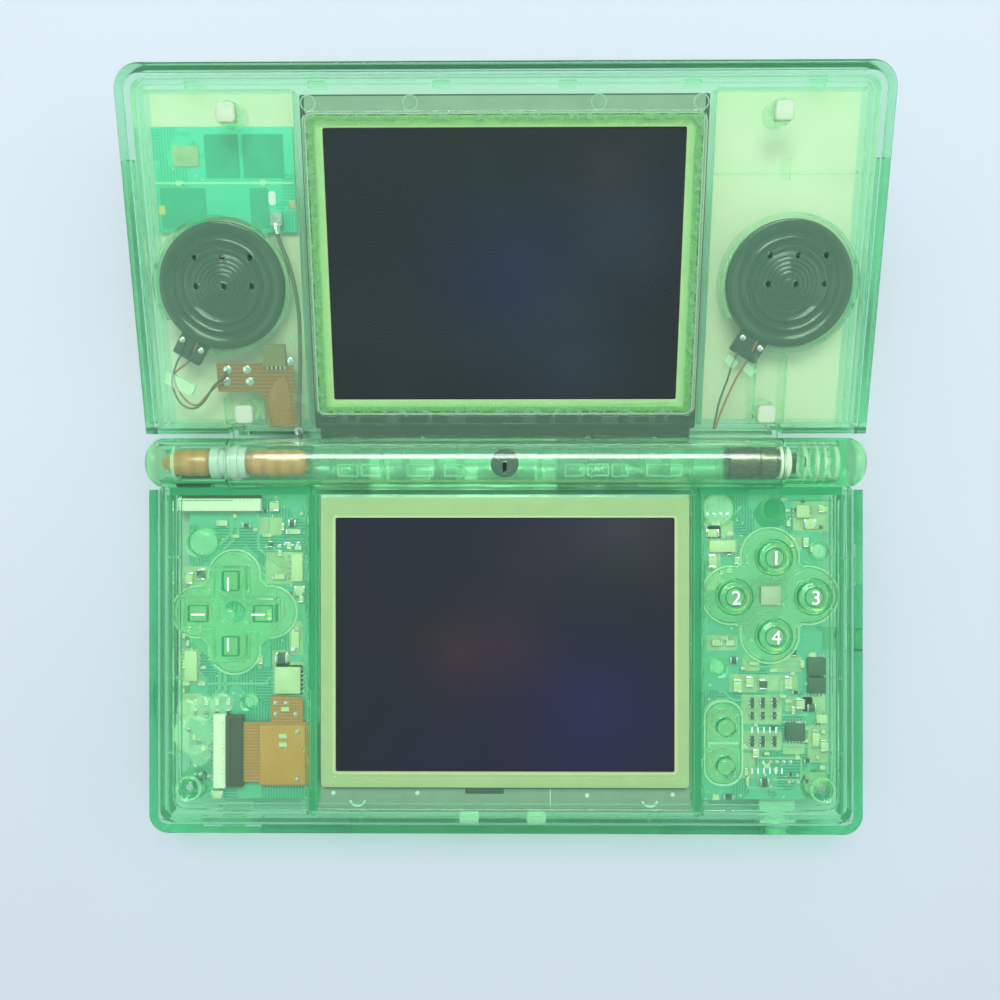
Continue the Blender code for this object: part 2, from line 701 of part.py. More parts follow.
def make_screws():
    for name, at in FRONT_SCREWS.items():
        make_screw(f"{name}_screw", at, SCREW_HEAD, FRONT_SCREW_TIP)
    for name, at in BACK_SCREWS.items():
        make_screw(f"{name}_screw", at, SCREW_HEAD, BACK_SCREW_TIP)
    make_screw("battery_cover_screw", COVER_SCREW, COVER_SCREW_HEAD, COVER_SCREW_TIP)


def make_card_reader():
    wall, roof = 0.0008, 0.0004
    cage = block("card_reader", CARD_X, CARD_Y, BAY)
    room = block("card_room", (CARD_X[0] + wall, CARD_X[1] - wall), (CARD_Y[0] + wall, CARD_Y[1] + PAST),
                 (0.0, BAY[1] - roof))
    show(cut(cage, room), "steel")


def make_cartridge_slot():
    connector = block("cartridge_connector", both(0.0260), (-0.0125, -0.0075), (FLOOR, 0.0062))
    cut(connector, block("contact_slot", both(0.0245), (-PAST, -0.0090), (0.0030, 0.0047)))
    show(connector, "connector_black")
    wall = 0.0014
    cover = block("cartridge_dust_cover", both(CARTRIDGE_HALF), (-0.0366, CARTRIDGE_Y), (0.0016, 0.0058))
    cut(cover, block("dust_cover_recess", both(CARTRIDGE_HALF - wall), (-0.0350, 0.0), (0.0028, PAST)))
    show(cover, "clear_green", origin=(0.0, CARTRIDGE_Y, 0.0037))


def make_jacks():
    x = HEADPHONE_AT[0]
    body = block("headphone_jack", span(x, 0.0068), (-0.0340, -0.0220), (FLOOR, 0.0063))
    join(body, rod("jack_nose", HEADPHONE_AT, 0.0024, (-0.0366, -0.0330), axis="Y", sides=POST_SIDES))
    cut(body, rod("jack_bore", HEADPHONE_AT, 0.00175, (-DEPTH, -0.0236), axis="Y", sides=POST_SIDES))
    show(body, "connector_black")
    x, z = POWER_JACK_X, POWER_JACK_Z
    body = block("power_jack", span(x, 0.0088), (0.0260, 0.0366), span(z, 0.0037))
    cut(body, block("power_bore", span(x, 0.0072), (0.0290, DEPTH), span(z, 0.0021)))
    show(body, "connector_black")


def make_board_connectors():
    show(block("ribbon_connector", (-0.0618, -0.0462), (0.0232, 0.0262), CONNECTOR), "connector_cream")
    screen = block("screen_connector", (-0.0551, -0.0490), (-0.0293, -0.0153), (CONNECTOR[0], 0.0092))
    cut(screen, block("ribbon_mouth", (-0.0525, -0.0400), (-0.0285, -0.0161), (0.0083, 0.0088)))
    show(screen, "connector_cream")
    flex = block("screen_ribbon", (-0.0520, -0.0354), (-0.0282, -0.0168), (0.00845, 0.00865))
    stiffener = block("ribbon_stiffener", (-0.0446, -0.0395), (-0.0280, -0.0170), (0.0084, 0.0089))
    fold = block("ribbon_fold", (-0.0445, -0.0382), (-0.0172, -0.0119), (0.00845, 0.00905))
    show(join(flex, stiffener, fold), "flex_amber")


def make_light_pipe():
    lens = block("power_light_pipe", (0.0546, 0.0586), span(AXIS_Y, 0.0012),
                 (AXIS_Z + 0.0012, AXIS_Z + BARREL_R - 0.0001))
    foot = block("light_pipe_foot", (0.0540, 0.0592), span(AXIS_Y, 0.0028),
                 (AXIS_Z + 0.0006, AXIS_Z + 0.0016))
    show(join(lens, foot), "clear_lens")


def make_hinge_ribbon():
    """The ribbon rolled up in the barrel, and its tail, which comes out of the left knuckle to the board."""
    x = (-0.0620, -0.0554)
    roll = rod("hinge_ribbon_roll", (AXIS_Y, AXIS_Z), 0.0018, (-0.0630, -0.0366), axis="X", sides=POST_SIDES)
    bend = block("ribbon_bend", x, (AXIS_Y - 0.0024, AXIS_Y - 0.0010), (0.0109, 0.0112))
    riser = block("ribbon_riser", x, (AXIS_Y - 0.0024, AXIS_Y - 0.0020), (0.0092, 0.0112))
    tail = block("ribbon_tail", x, (AXIS_Y - 0.0056, AXIS_Y - 0.0020), (0.0092, 0.0094))
    show(join(roll, bend, riser, tail), "flex_amber")


# Moving controls


def face_places():
    x, y = FACE_AT
    return {
        "button_upper": (x, y + FACE_OFFSET),
        "button_left": (x - FACE_OFFSET, y),
        "button_right": (x + FACE_OFFSET, y),
        "button_lower": (x, y - FACE_OFFSET),
    }


def menu_places():
    return {name: (MENU_X, y) for name, y in zip(("start_button", "select_button"), MENU_YS)}


def make_direction_pad():
    pivot = (*PAD_AT, PAD_PIVOT_Z)
    post = rod("direction_pivot", PAD_AT, 0.0015, (MEMBRANE[0], PAD_PIVOT_Z - 0.0001), sides=POST_SIDES,
               high_edge=0.0005)
    show(post, "clear_button", origin=pivot)
    body = (PAD_FLANGE[0] + 0.0002, PAD_TOP)
    arms = [
        block(name, span(PAD_AT[0], width), span(PAD_AT[1], height), body, corner=0.0007, corner_segments=2,
              high_edge=0.0005)
        for name, width, height in (
            ("direction_pad", PAD_LENGTH, PAD_ARM),
            ("pad_upright", PAD_ARM, PAD_LENGTH),
        )
    ]
    flange = rod("pad_flange", PAD_AT, PAD_LENGTH / 2 + 0.0006, PAD_FLANGE)
    dish = rod("pad_dish", PAD_AT, 0.0014, (PAD_TOP - 0.0005, PAST), sides=POST_SIDES)
    pad = cut(join(arms[0], arms[1], flange), dish)
    show(pad, "clear_button", origin=pivot)


def make_round_button(name, at, radius, top):
    """A cap with a rounded shoulder and the flange that keeps it in, turned about its own line of travel."""
    base = BUTTON_FLANGE[0]
    shoulder = radius * 0.35
    cap = arc((radius - shoulder, top - shoulder - base), shoulder, 90, 0, 3)
    flange_r, flange_top = radius + BUTTON_FLANGE_WIDTH, BUTTON_FLANGE[1] - base
    profile = [
        (0.0, top - base), *cap, (radius, flange_top), (flange_r, flange_top), (flange_r, 0.0), (0.0, 0.0),
    ]
    show(turned(name, profile, (*at, base)), "clear_button")


def make_buttons():
    for name, at in face_places().items():
        make_round_button(name, at, FACE_R, FACE_TOP)
    for name, at in menu_places().items():
        make_round_button(name, at, MENU_R, MENU_TOP)


def make_shoulder_button(side, sign):
    def is_outer_corner(co):
        return co.y > SHOULDER_PIN[1] and sign * co.x > SHOULDER_PIN[0]

    key = block(f"{side}_shoulder_button", side_span(sign, SHOULDER_X), SHOULDER_Y, SHOULDER_Z,
                corner=BASE_CORNER - 0.0006, corners_where=is_outer_corner, low_edge=0.0006, high_edge=0.0004)
    pin_at = (sign * SHOULDER_PIN[0], SHOULDER_PIN[1])
    inside = (SHOULDER_Z[0] + 0.0008, SHOULDER_Z[1] - 0.0008)
    spring_room = block(f"{side}_spring_room", side_span(sign, (0.0440, 0.0502)), (0.0280, 0.0354), inside)
    pocket = block(f"{side}_key_pocket", side_span(sign, (0.0512, 0.0630)), (0.0280, 0.0340), inside)
    bore = rod(f"{side}_key_bore", pin_at, SHOULDER_PIN_R + 0.0002, both(PAST), sides=SMALL_SIDES)
    show(cut(key, bore, spring_room, pocket), "clear_button", origin=(*pin_at, 0.0046))
    pin = rod(f"{side}_shoulder_pin", pin_at, SHOULDER_PIN_R, (FLOOR, SHOULDER_Z[1] + 0.00005),
              sides=SMALL_SIDES)
    show(pin, "steel")
    make_spring(f"{side}_shoulder_spring", pin_at, low=0.0030)


def make_spring(name, at, low, radius=0.00125, wire_radius=0.00015, turns=3, pitch=0.0010, per_turn=10):
    """A return spring round a shoulder button's pin: one unbroken helix."""
    points = []
    for k in range(turns * per_turn + 1):
        angle = 2 * math.pi * k / per_turn
        points.append(Vector((at[0] + radius * math.cos(angle), at[1] + radius * math.sin(angle),
                              low + pitch * k / per_turn)))
    apart = min(
        (a - b).length for k, a in enumerate(points) for b in points[k + per_turn // 2:]
    )
    print(f"{name}: least gap between turns {1000 * (apart - 2 * wire_radius):.2f} mm")
    show(wire(name, points, wire_radius), "steel")


def make_sliders():
    """Each slider is a knob outside the wall, a neck through its slot, and a foot inside."""
    foot_z, neck_z = (0.0036, 0.0064), (0.0049, 0.0062)
    y = POWER_Y - 0.0001
    knob = block("power_slider", (0.0648, 0.0669), span(y, POWER_KNOB), SLIDER_Z, high_edge=0.0004)
    neck = block("power_slider_neck", (0.0638, 0.0655), span(y, 0.0038), neck_z)
    foot = block("power_slider_foot", (0.0628, 0.0644), span(y, 0.0070), foot_z)
    show(join(knob, neck, foot), "clear_button", origin=(WIDTH / 2, POWER_Y, SLIDER_Z[0]))
    x, front = VOLUME_X, -DEPTH / 2
    knob = block("volume_slider", span(x, VOLUME_KNOB), (front - 0.0004, front + 0.0017), SLIDER_Z,
                 high_edge=0.0004)
    neck = block("volume_slider_neck", span(x, 0.0030), (front + 0.0010, front + 0.0026), neck_z)
    foot = block("volume_slider_foot", span(x, 0.0060), (front + 0.0021, front + 0.0034), foot_z)
    show(join(knob, neck, foot), "clear_button", origin=(VOLUME_X, front, SLIDER_Z[0]))


def make_stylus():
    shoulder = STYLUS_X[0] + 0.0030
    pen = rod("stylus", STYLUS_AT, STYLUS_R, (shoulder, STYLUS_X[1]), axis="X", high_edge=0.0004)
    tip = rod("stylus_tip", STYLUS_AT, 0.0011, (STYLUS_X[0], shoulder + 0.0010), axis="X", sides=SMALL_SIDES,
              low_edge=0.0005)
    show(join(pen, tip), "plastic_white", origin=(STYLUS_X[1], *STYLUS_AT))


# The lid, drawn closed: x, then the distance u from the hinge axis, then the height above it


def lid_block(name, x, u, w, **options):
    return block(name, x, (-u[1], -u[0]), w, **options)


def lid_rod(name, at, radius, w, **options):
    return rod(name, (at[0], -at[1]), radius, w, **options)


def axis_rod(name, radius, x, **options):
    return rod(name, (0.0, 0.0), radius, x, axis="X", **options)


def at_free_edge(co):
    return -co.y > LID_FREE_U / 2


def make_lid_cover(hinge):
    side, top = WIDTH / 2, LID_BACK - PLATE
    cover = lid_block("lid_cover", both(side), (LID_HINGE_U, LID_FREE_U), (LID_RIM, LID_BACK), corner=LID_CORNER,
                      corner_segments=9, corners_where=at_free_edge, low_edge=RIM_EDGE, high_edge=SOFT_EDGE,
                      edge_segments=4)
    apron_half = BARREL_HALF - GAP
    apron = lid_block("cover_apron", both(apron_half), (0.0043, 0.0120), (NECK_CLEAR, LID_BACK - 0.0002),
                      high_edge=0.0012)
    join(cover, apron)
    hollow = lid_block("cover_hollow", both(side - WALL), (LID_HINGE_U + 0.0013, LID_FREE_U - WALL),
                       (-PAST, top), corner=LID_CORNER - WALL, corner_segments=8, corners_where=at_free_edge,
                       high_edge=INNER_EDGE)
    neck = lid_block("cover_neck_gap", both(BARREL_HALF + GAP), (0.0, 0.0080), (-PAST, NECK_CLEAR))
    apron_room = lid_block("apron_room", both(apron_half - PLATE), (0.0055, 0.0100), (0.0, top - 0.0002))
    cut(cover, hollow, neck, apron_room)
    show(cover, "clear_green", parent=hinge)


def make_lid_bezel(hinge):
    half, hinge_u, free_u = PANEL_HALF, LID_HINGE_U + 0.0016, LID_FREE_U - WALL - GAP
    plate = lid_block("lid_bezel", both(half), (hinge_u, free_u), BEZEL, corner=PANEL_CORNER,
                      corner_segments=7, corners_where=at_free_edge, low_edge=0.0003)
    skirt = lid_block("bezel_skirt", both(half), (hinge_u, free_u), (BEZEL[1] - 0.0004, 0.0052),
                      corner=PANEL_CORNER, corner_segments=7, corners_where=at_free_edge)
    room = lid_block("bezel_room", both(half - SKIRT), (-PAST, free_u - SKIRT), (0.0, PAST),
                     corner=PANEL_CORNER - SKIRT, corners_where=at_free_edge)
    cut(skirt, room)
    neck = lid_block("bezel_neck", both(BARREL_HALF), (0.0028, 0.0120),
                     (BEZEL[0] + 0.0001, BEZEL[1] - 0.0001))
    barrel = axis_rod("hinge_barrel", BARREL_R, both(BARREL_HALF), sides=BARREL_SIDES)
    join(plate, skirt, neck, barrel)
    cut(plate, *bezel_holes(), *sound_holes(), *pad_recesses())
    show(plate, "clear_green", parent=hinge)


def bezel_holes():
    window = (ACTIVE[0] + 2 * WINDOW_MARGIN, ACTIVE[1] + 2 * WINDOW_MARGIN)
    fit = 0.0002
    yield axis_rod("barrel_bore", BARREL_BORE_R, both(BARREL_HALF + PAST), sides=BARREL_SIDES)
    yield lid_block("lens_recess", both(LENS_HALF + fit), (LENS_U[0] - fit, LENS_U[1] + fit), (-PAST, 0.0024),
                    corner=0.0015, corner_segments=3)
    yield lid_block("bezel_window", span(0.0, window[0]), span(UPPER_SCREEN_U, window[1]), both(PAST),
                    corner=0.0006, corner_segments=2)
    yield lid_block("microphone_hole", both(0.0004), both(0.0010), (-PAST, -0.0020))
    yield lid_block("lead_gap", (-0.0478, -0.0364), (0.0006, 0.0056), (0.0014, 0.0060))


def sound_holes():
    inward = 0.0008
    for side, (x, u) in SPEAKERS.items():
        for row in (0, 1):
            for column in (-1, 0, 1):
                at = (x + inward + column * SOUND_HOLE_PITCH, u + row * SOUND_HOLE_PITCH)
                yield lid_rod(f"{side}_sound_hole_{row}{column + 1}", at, SOUND_HOLE_R, (0.0, PAST), sides=8)


def pad_recesses():
    side = SCREW_PAD_SIDE + GAP
    for name, (x, u) in SCREW_PADS.items():
        yield lid_block(f"{name}_recess", span(x, side), span(u, side), (0.0, 0.0022))


def make_upper_display(hinge):
    lens = lid_block("screen_lens", both(LENS_HALF), LENS_U, LENS, corner=0.0013, corner_segments=3)
    show(lens, "clear_lens", parent=hinge)
    frame = lid_block("upper_screen", both(0.0355), (0.0059, 0.0643), (LID_SCREEN[0] + 0.0004, LID_SCREEN[1]))
    glass = lid_block("upper_glass", both(0.0343), (0.0092, 0.0608), (LID_SCREEN[0], LID_SCREEN[1] - 0.0010))
    show(join(frame, glass), "screen_black", parent=hinge)


def make_speakers(hinge):
    """A shallow can whose open face holds the cone and its dome, with the tab for its leads."""
    cone_r, dome_r, deep = 0.78 * SPEAKER_R, 0.40 * SPEAKER_R, 0.0009
    face, back = SPEAKER
    for side, (x, u) in SPEAKERS.items():
        profile = ((0.0, back), (SPEAKER_R, back), (SPEAKER_R, face + 0.0005), (SPEAKER_R - 0.0005, face),
                   (cone_r, face), (cone_r - 0.0004, face + deep), (dome_r + 0.0004, face + deep),
                   (dome_r, face + 0.0002), (0.0, face + 0.0001))
        can = turned(f"{side}_speaker", profile, (x, -u), steps=32)
        tab = block(f"{side}_speaker_tab", both(0.0027), both(0.0022), (0.0036, 0.0054))
        tab.data.transform(
            Matrix.Translation((x - 0.0066, -u + 0.0112, 0.0)) @ Matrix.Rotation(math.radians(31), 4, "Z")
        )
        show(join(can, tab), "speaker_black", parent=hinge)


def make_antenna(hinge):
    """The aerial's board, hollowed to go round the left speaker, and its cable into the barrel."""
    speaker = SPEAKERS["left"]
    left, right, top, bottom = -0.0630, -0.0376, 0.0597, 0.0413
    reach = SPEAKER_R + 0.0008
    rise = math.degrees(math.asin((bottom - speaker[1]) / reach))
    outline = [
        (left, top), (left, bottom), *arc(speaker, reach, 180 - rise, rise, 10),
        (right, bottom), (right, top),
    ]
    board = slab("antenna_board", [(x, -u) for x, u in outline], ANTENNA)
    show(board, "antenna_green", parent=hinge)
    route = (
        (-0.0405, 0.0440, 0.0060), (-0.0403, 0.0424, 0.0060), (-0.0396, 0.0400, 0.0054),
        (-0.0386, 0.0363, 0.0048), (-0.0377, 0.0297, 0.0045), (-0.0374, 0.0245, 0.0044),
        (-0.0375, 0.0191, 0.0044), (-0.0376, 0.0130, 0.0044), (-0.0377, 0.0080, 0.0043),
        (-0.0378, 0.0052, 0.0036), (-0.0379, 0.0034, 0.0026), (-0.0380, 0.0022, 0.0022),
    )
    points = smooth_route([(x, -u, w) for x, u, w in route])
    show(wire("antenna_cable", points, 0.0005), "lead_black", parent=hinge)


def make_lid_ribbon(hinge):
    strip = lid_block("lid_ribbon", (-0.0452, -0.0394), (0.0058, 0.0176), (0.0046, 0.0049))
    wing = lid_block("ribbon_wing", (-0.0536, -0.0448), (0.0128, 0.0180), (0.0044, 0.0049))
    socket = lid_block("ribbon_socket", (-0.0446, -0.0406), (0.0172, 0.0215), (0.0040, 0.0052))
    show(join(strip, wing, socket), "flex_amber", parent=hinge)


def make_speaker_leads(hinge):
    routes = {
        "left": ((-0.0598, 0.0186), (-0.0610, 0.0163), (-0.0605, 0.0130), (-0.0585, 0.0100),
                 (-0.0565, 0.0105), (-0.0553, 0.0130), (-0.0547, 0.0152)),
        "right": ((0.0438, 0.0182), (0.0424, 0.0160), (0.0410, 0.0132), (0.0398, 0.0104), (0.0392, 0.0082)),
    }
    for side, route in routes.items():
        points = smooth_route([(x, -u, 0.0041) for x, u in route])
        show(wire(f"{side}_speaker_lead", points, 0.0003), "lead_black", parent=hinge)


def make_hinge_inside(hinge):
    cam = axis_rod("hinge_cam", 0.0030, (0.0408, 0.0500))
    head = axis_rod("hinge_cam_head", 0.0026, (0.0495, 0.0528))
    key = lid_block("hinge_cam_key", (0.0520, 0.0536), both(0.0018), both(0.0011))
    show(join(cam, head, key), "steel", parent=hinge)
    sleeve = axis_rod("hinge_sleeve", 0.0029, (-0.0541, -0.0476), sides=POST_SIDES)
    collar = axis_rod("sleeve_collar", 0.0032, (-0.0503, -0.0490), sides=POST_SIDES)
    bore = axis_rod("sleeve_bore", 0.0021, (-0.0600, -0.0400), sides=POST_SIDES)
    show(cut(join(sleeve, collar), bore), "plastic_white", parent=hinge)
    show(lid_rod("microphone", (0.0, 0.0), 0.0026, (-0.0015, 0.0006)), "speaker_black", parent=hinge)


def make_screw_pads(hinge):
    for name, (x, u) in SCREW_PADS.items():
        pad = lid_block(f"{name}_screw_pad", span(x, SCREW_PAD_SIDE), span(u, SCREW_PAD_SIDE),
                        (0.0004, 0.0020), corner=0.0006, corner_segments=2, low_edge=0.0003,
                        edge_segments=1)
        show(pad, "pad_rubber", parent=hinge)


def make_base():
    make_rear_case()
    make_front_panel()
    make_main_board()
    make_lower_screen()
    make_membranes()
    make_battery()
    make_screws()
    make_card_reader()
    make_cartridge_slot()
    make_jacks()
    make_board_connectors()
    make_light_pipe()
    make_hinge_ribbon()
    make_direction_pad()
    make_buttons()
    make_shoulder_button("left", -1)
    make_shoulder_button("right", 1)
    make_sliders()
    make_stylus()


def make_lid():
    hinge = bpy.data.objects.new("lid_hinge", None)
    CONSOLE.objects.link(hinge)
    hinge.location = (0.0, AXIS_Y, AXIS_Z)
    hinge.rotation_euler.x = -OPEN_ANGLE
    make_lid_cover(hinge)
    make_lid_bezel(hinge)
    make_upper_display(hinge)
    make_speakers(hinge)
    make_antenna(hinge)
    make_lid_ribbon(hinge)
    make_speaker_leads(hinge)
    make_hinge_inside(hinge)
    make_screw_pads(hinge)


clear_scene()
CONSOLE = new_collection("handheld_console")
TOOLS = new_collection("cutters_and_joined_shapes")
make_base()
make_lid()
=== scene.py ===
"""A clear green clamshell console with two screens, open on a pale table: its finishes and fine pieces.

Lengths are in millimetres and the helpers turn them into metres. Pieces of the lid are given as on
the closed lid: x, then u, the distance from the hinge axis, then w, the height above it.
"""

import json
import math
import random

import bmesh
import bpy
from mathutils import Matrix, Vector


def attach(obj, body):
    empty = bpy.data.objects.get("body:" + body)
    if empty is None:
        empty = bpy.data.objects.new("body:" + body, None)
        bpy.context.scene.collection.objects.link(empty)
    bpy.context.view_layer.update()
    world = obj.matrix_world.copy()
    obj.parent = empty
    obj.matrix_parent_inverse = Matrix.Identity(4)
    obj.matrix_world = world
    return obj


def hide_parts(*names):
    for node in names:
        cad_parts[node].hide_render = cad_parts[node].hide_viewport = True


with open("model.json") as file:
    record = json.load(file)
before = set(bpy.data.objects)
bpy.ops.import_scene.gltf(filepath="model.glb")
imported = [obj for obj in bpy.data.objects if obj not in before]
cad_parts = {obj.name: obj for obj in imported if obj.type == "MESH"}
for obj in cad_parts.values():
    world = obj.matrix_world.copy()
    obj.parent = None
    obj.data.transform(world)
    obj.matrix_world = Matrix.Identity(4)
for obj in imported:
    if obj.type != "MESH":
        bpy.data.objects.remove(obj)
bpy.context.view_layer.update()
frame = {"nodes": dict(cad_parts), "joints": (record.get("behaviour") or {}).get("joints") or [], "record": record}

MM = 0.001
SAME = 1e-7  # metres between two places that count as one
MERGE = 1e-6  # metres between two doubled points
JOINTS = {joint["name"]: joint for joint in frame["joints"]}
AXIS = Vector(JOINTS["lid_hinge"]["pos_m"])
OPEN_ANGLE = math.radians(JOINTS["lid_hinge"]["range_deg"][1])
LID = Matrix.Translation(AXIS) @ Matrix.Rotation(-OPEN_ANGLE, 4, "X")
TURN_OVER = Matrix.Rotation(math.pi, 4, "X")
ALONG_HINGE = Matrix.Rotation(math.pi / 2, 4, "Y")
BODY_OF = {node: body for body, nodes in frame["record"]["behaviour"]["bodies"].items() for node in nodes}


# Working with pieces


def pick(*pieces):
    """Leaves only these pieces selected, the first of them active."""
    if bpy.context.object and bpy.context.object.mode != "OBJECT":
        bpy.ops.object.mode_set(mode="OBJECT")
    bpy.ops.object.select_all(action="DESELECT")
    for piece in pieces:
        piece.select_set(True)
    if pieces:
        bpy.context.view_layer.objects.active = pieces[0]


def named(name):
    piece = bpy.context.object
    piece.name = name
    return piece


def fixed(name):
    """Names a new primitive and fixes its place and turn in its mesh."""
    bpy.ops.object.transform_apply(location=True, rotation=True, scale=True)
    return named(name)


def new_object(name, data):
    piece = bpy.data.objects.new(name, data)
    bpy.context.scene.collection.objects.link(piece)
    return piece


def open_edit(piece, kind="FACE", chosen=None):
    """Opens a piece for editing with its chosen vertices, edges or faces selected, or with all of them."""
    pick(piece)
    bpy.ops.object.mode_set(mode="EDIT")
    bpy.ops.mesh.select_mode(type=kind)
    if chosen is None:
        bpy.ops.mesh.select_all(action="SELECT")
        return
    bpy.ops.mesh.select_all(action="DESELECT")
    mesh = bmesh.from_edit_mesh(piece.data)
    for element in {"VERT": mesh.verts, "EDGE": mesh.edges, "FACE": mesh.faces}[kind]:
        if chosen(element):
            element.select_set(True)
    bmesh.update_edit_mesh(piece.data)


def close_edit():
    bpy.ops.object.mode_set(mode="OBJECT")


def round_edges(piece, width, steps=2, chosen=None):
    """Rounds a piece's chosen edges, or all of them."""
    open_edit(piece, "EDGE", chosen)
    bpy.ops.mesh.bevel(offset=width * MM, segments=steps, affect="EDGES", clamp_overlap=True)
    close_edit()
    return piece


def upright(edge):
    a, b = edge.verts
    return (a.co.xy - b.co.xy).length < SAME


def faces_up(face):
    return face.normal.z > 0.9


def top_edge(edge):
    up = [faces_up(face) for face in edge.link_faces]
    return len(up) == 2 and up[0] != up[1]


def smooth(piece, degrees=35):
    pick(piece)
    bpy.ops.object.shade_smooth_by_angle(angle=math.radians(degrees))
    return piece


def apply_all(piece):
    pick(piece)
    for modifier in list(piece.modifiers):
        bpy.ops.object.modifier_apply(modifier=modifier.name)
    return piece


def divide(piece, places):
    """Divides a piece's long faces at these values of x."""
    for x in places:
        open_edit(piece, "VERT")
        bpy.ops.mesh.bisect(plane_co=(x * MM, 0, 0), plane_no=(1, 0, 0))
        close_edit()
    return piece


def block(name, x, y, z, corner=0.0, edge=0.0, steps=2, corner_steps=5):
    """A block between two values of x, y and z, with round upright corners and a round top edge."""
    pick()
    middle = [MM * (low + high) / 2 for low, high in (x, y, z)]
    size = [MM * (high - low) for low, high in (x, y, z)]
    bpy.ops.mesh.primitive_cube_add(size=1, location=middle, scale=size)
    piece = fixed(name)
    if corner:
        round_edges(piece, corner, corner_steps, upright)
    if edge:
        round_edges(piece, edge, steps, top_edge)
    return piece


TURN = {"X": (0, math.pi / 2, 0), "Z": (0, 0, 0)}


def rod(name, at, radius, ends, axis="Z", sides=32, edge=0.0):
    """A cylinder along an axis, both ends rounded. at holds its other two coordinates, in X, Y, Z order."""
    pick()
    middle = list(at)
    middle.insert("XYZ".index(axis), (ends[0] + ends[1]) / 2)
    bpy.ops.mesh.primitive_cylinder_add(
        vertices=sides, radius=radius * MM, depth=(ends[1] - ends[0]) * MM,
        location=[MM * each for each in middle], rotation=TURN[axis],
    )
    piece = fixed(name)
    if edge:
        open_edit(piece, "FACE", lambda face: len(face.verts) > 4)
        bpy.ops.mesh.region_to_loop()
        bpy.ops.mesh.bevel(offset=edge * MM, segments=2, affect="EDGES")
        close_edit()
    return piece


def turned(name, at, profile, sides=48):
    """Rings of (radius, height) from the bottom up, made by drawing a disc upwards and scaling it."""
    (first, low), (second, high) = profile[:2]
    pick()
    bpy.ops.mesh.primitive_cone_add(
        vertices=sides, radius1=first * MM, radius2=second * MM, depth=(high - low) * MM,
        location=(0, 0, MM * (low + high) / 2),
    )
    piece = fixed(name)
    top = max(v.co.z for v in piece.data.vertices)
    open_edit(piece, "FACE", lambda face: faces_up(face) and face.calc_center_median().z > top - SAME)
    for (radius, height), (wider, higher) in zip(profile[1:], profile[2:]):
        bpy.ops.mesh.extrude_region_move(
            TRANSFORM_OT_translate={"value": (0, 0, MM * (higher - height))}
        )
        grow = wider / radius
        bpy.ops.transform.resize(value=(grow, grow, 1), center_override=(0, 0, MM * higher))
    close_edit()
    piece.data.transform(shift(*at))
    return piece


def hinge_turned(name, profile):
    """A turned piece that lies along the hinge, its heights read as x."""
    piece = turned(name, (0, 0), profile)
    piece.data.transform(ALONG_HINGE)
    return piece


def heal(piece):
    """Merges a mesh's doubled points and turns all its faces outwards."""
    open_edit(piece, "VERT")
    bpy.ops.mesh.remove_doubles(threshold=MERGE)
    bpy.ops.mesh.normals_make_consistent(inside=False)
    close_edit()
    return piece


def curve_mesh(name, loops, closed, **settings):
    """The mesh of a curve that runs through loops of points."""
    curve = bpy.data.curves.new(name, "CURVE")
    for setting, value in settings.items():
        setattr(curve, setting, value)
    for loop in loops:
        spline = curve.splines.new("POLY")
        spline.points.add(len(loop) - 1)
        for point, spot in zip(spline.points, loop):
            point.co = (*(MM * each for each in spot), 1)
        spline.use_cyclic_u = closed
    pick(new_object(name, curve))
    bpy.ops.object.convert(target="MESH")
    return named(name)


def flat(name, outline, z, edge=0.0, holes=()):
    """A plate with an outline of (x, y) points, between two heights, with rounded rims."""
    loops = [[(x, y, 0) for x, y in loop] for loop in (outline, *holes)]
    piece = curve_mesh(name, loops, True, dimensions="2D", fill_mode="BOTH", bevel_depth=MM * edge,
                       extrude=MM * ((z[1] - z[0]) / 2 - edge), offset=-MM * edge, bevel_resolution=2)
    piece.data.transform(Matrix.Translation((0, 0, MM * (z[0] + z[1]) / 2)))
    return heal(piece)


def wire(name, points, radius, resolution=3, steps=5):
    """A round lead along a smooth curve through the points, with closed ends."""
    return heal(curve_mesh(name, [smooth_route(points, steps)], False, dimensions="3D",
                           bevel_depth=MM * radius, bevel_resolution=resolution, use_fill_caps=True))


def smooth_route(points, steps=5):
    """Points on a Catmull-Rom curve through the given ones."""
    fixed = [Vector(p) for p in points]
    ends = [2 * fixed[0] - fixed[1], *fixed, 2 * fixed[-1] - fixed[-2]]
    route = []
    for a, b, c, d in zip(ends, ends[1:], ends[2:], ends[3:]):
        for t in (k / steps for k in range(steps)):
            line = 2 * b + (c - a) * t
            bend = (2 * a - 5 * b + 4 * c - d) * t ** 2 + (3 * b - a - 3 * c + d) * t ** 3
            route.append((line + bend) / 2)
    return [*route, fixed[-1]]


def arc(centre, radius, start, end, steps):
    """Points on an arc, with angles in degrees from the first axis towards the second."""
    angles = [math.radians(start + (end - start) * k / steps) for k in range(steps + 1)]
    return [(centre[0] + radius * math.cos(a), centre[1] + radius * math.sin(a)) for a in angles]


def rounded(x, y, radius, steps=5):
    """The outline of a rectangle with round corners."""
    corners = ((x[1], y[1], 0), (x[0], y[1], 90), (x[0], y[0], 180), (x[1], y[0], 270))
    outline = []
    for cx, cy, start in corners:
        centre = (cx - math.copysign(radius, cx - sum(x) / 2), cy - math.copysign(radius, cy - sum(y) / 2))
        outline += arc(centre, radius, start, start + 90, steps)
    return outline


def joined(name, pieces):
    pick(*pieces)
    bpy.ops.object.join()
    return named(name)


def copy_of(piece, name, matrix):
    """A copy of a piece with its own mesh, moved by a matrix."""
    twin = new_object(name, piece.data.copy())
    twin.data.transform(matrix)
    return twin


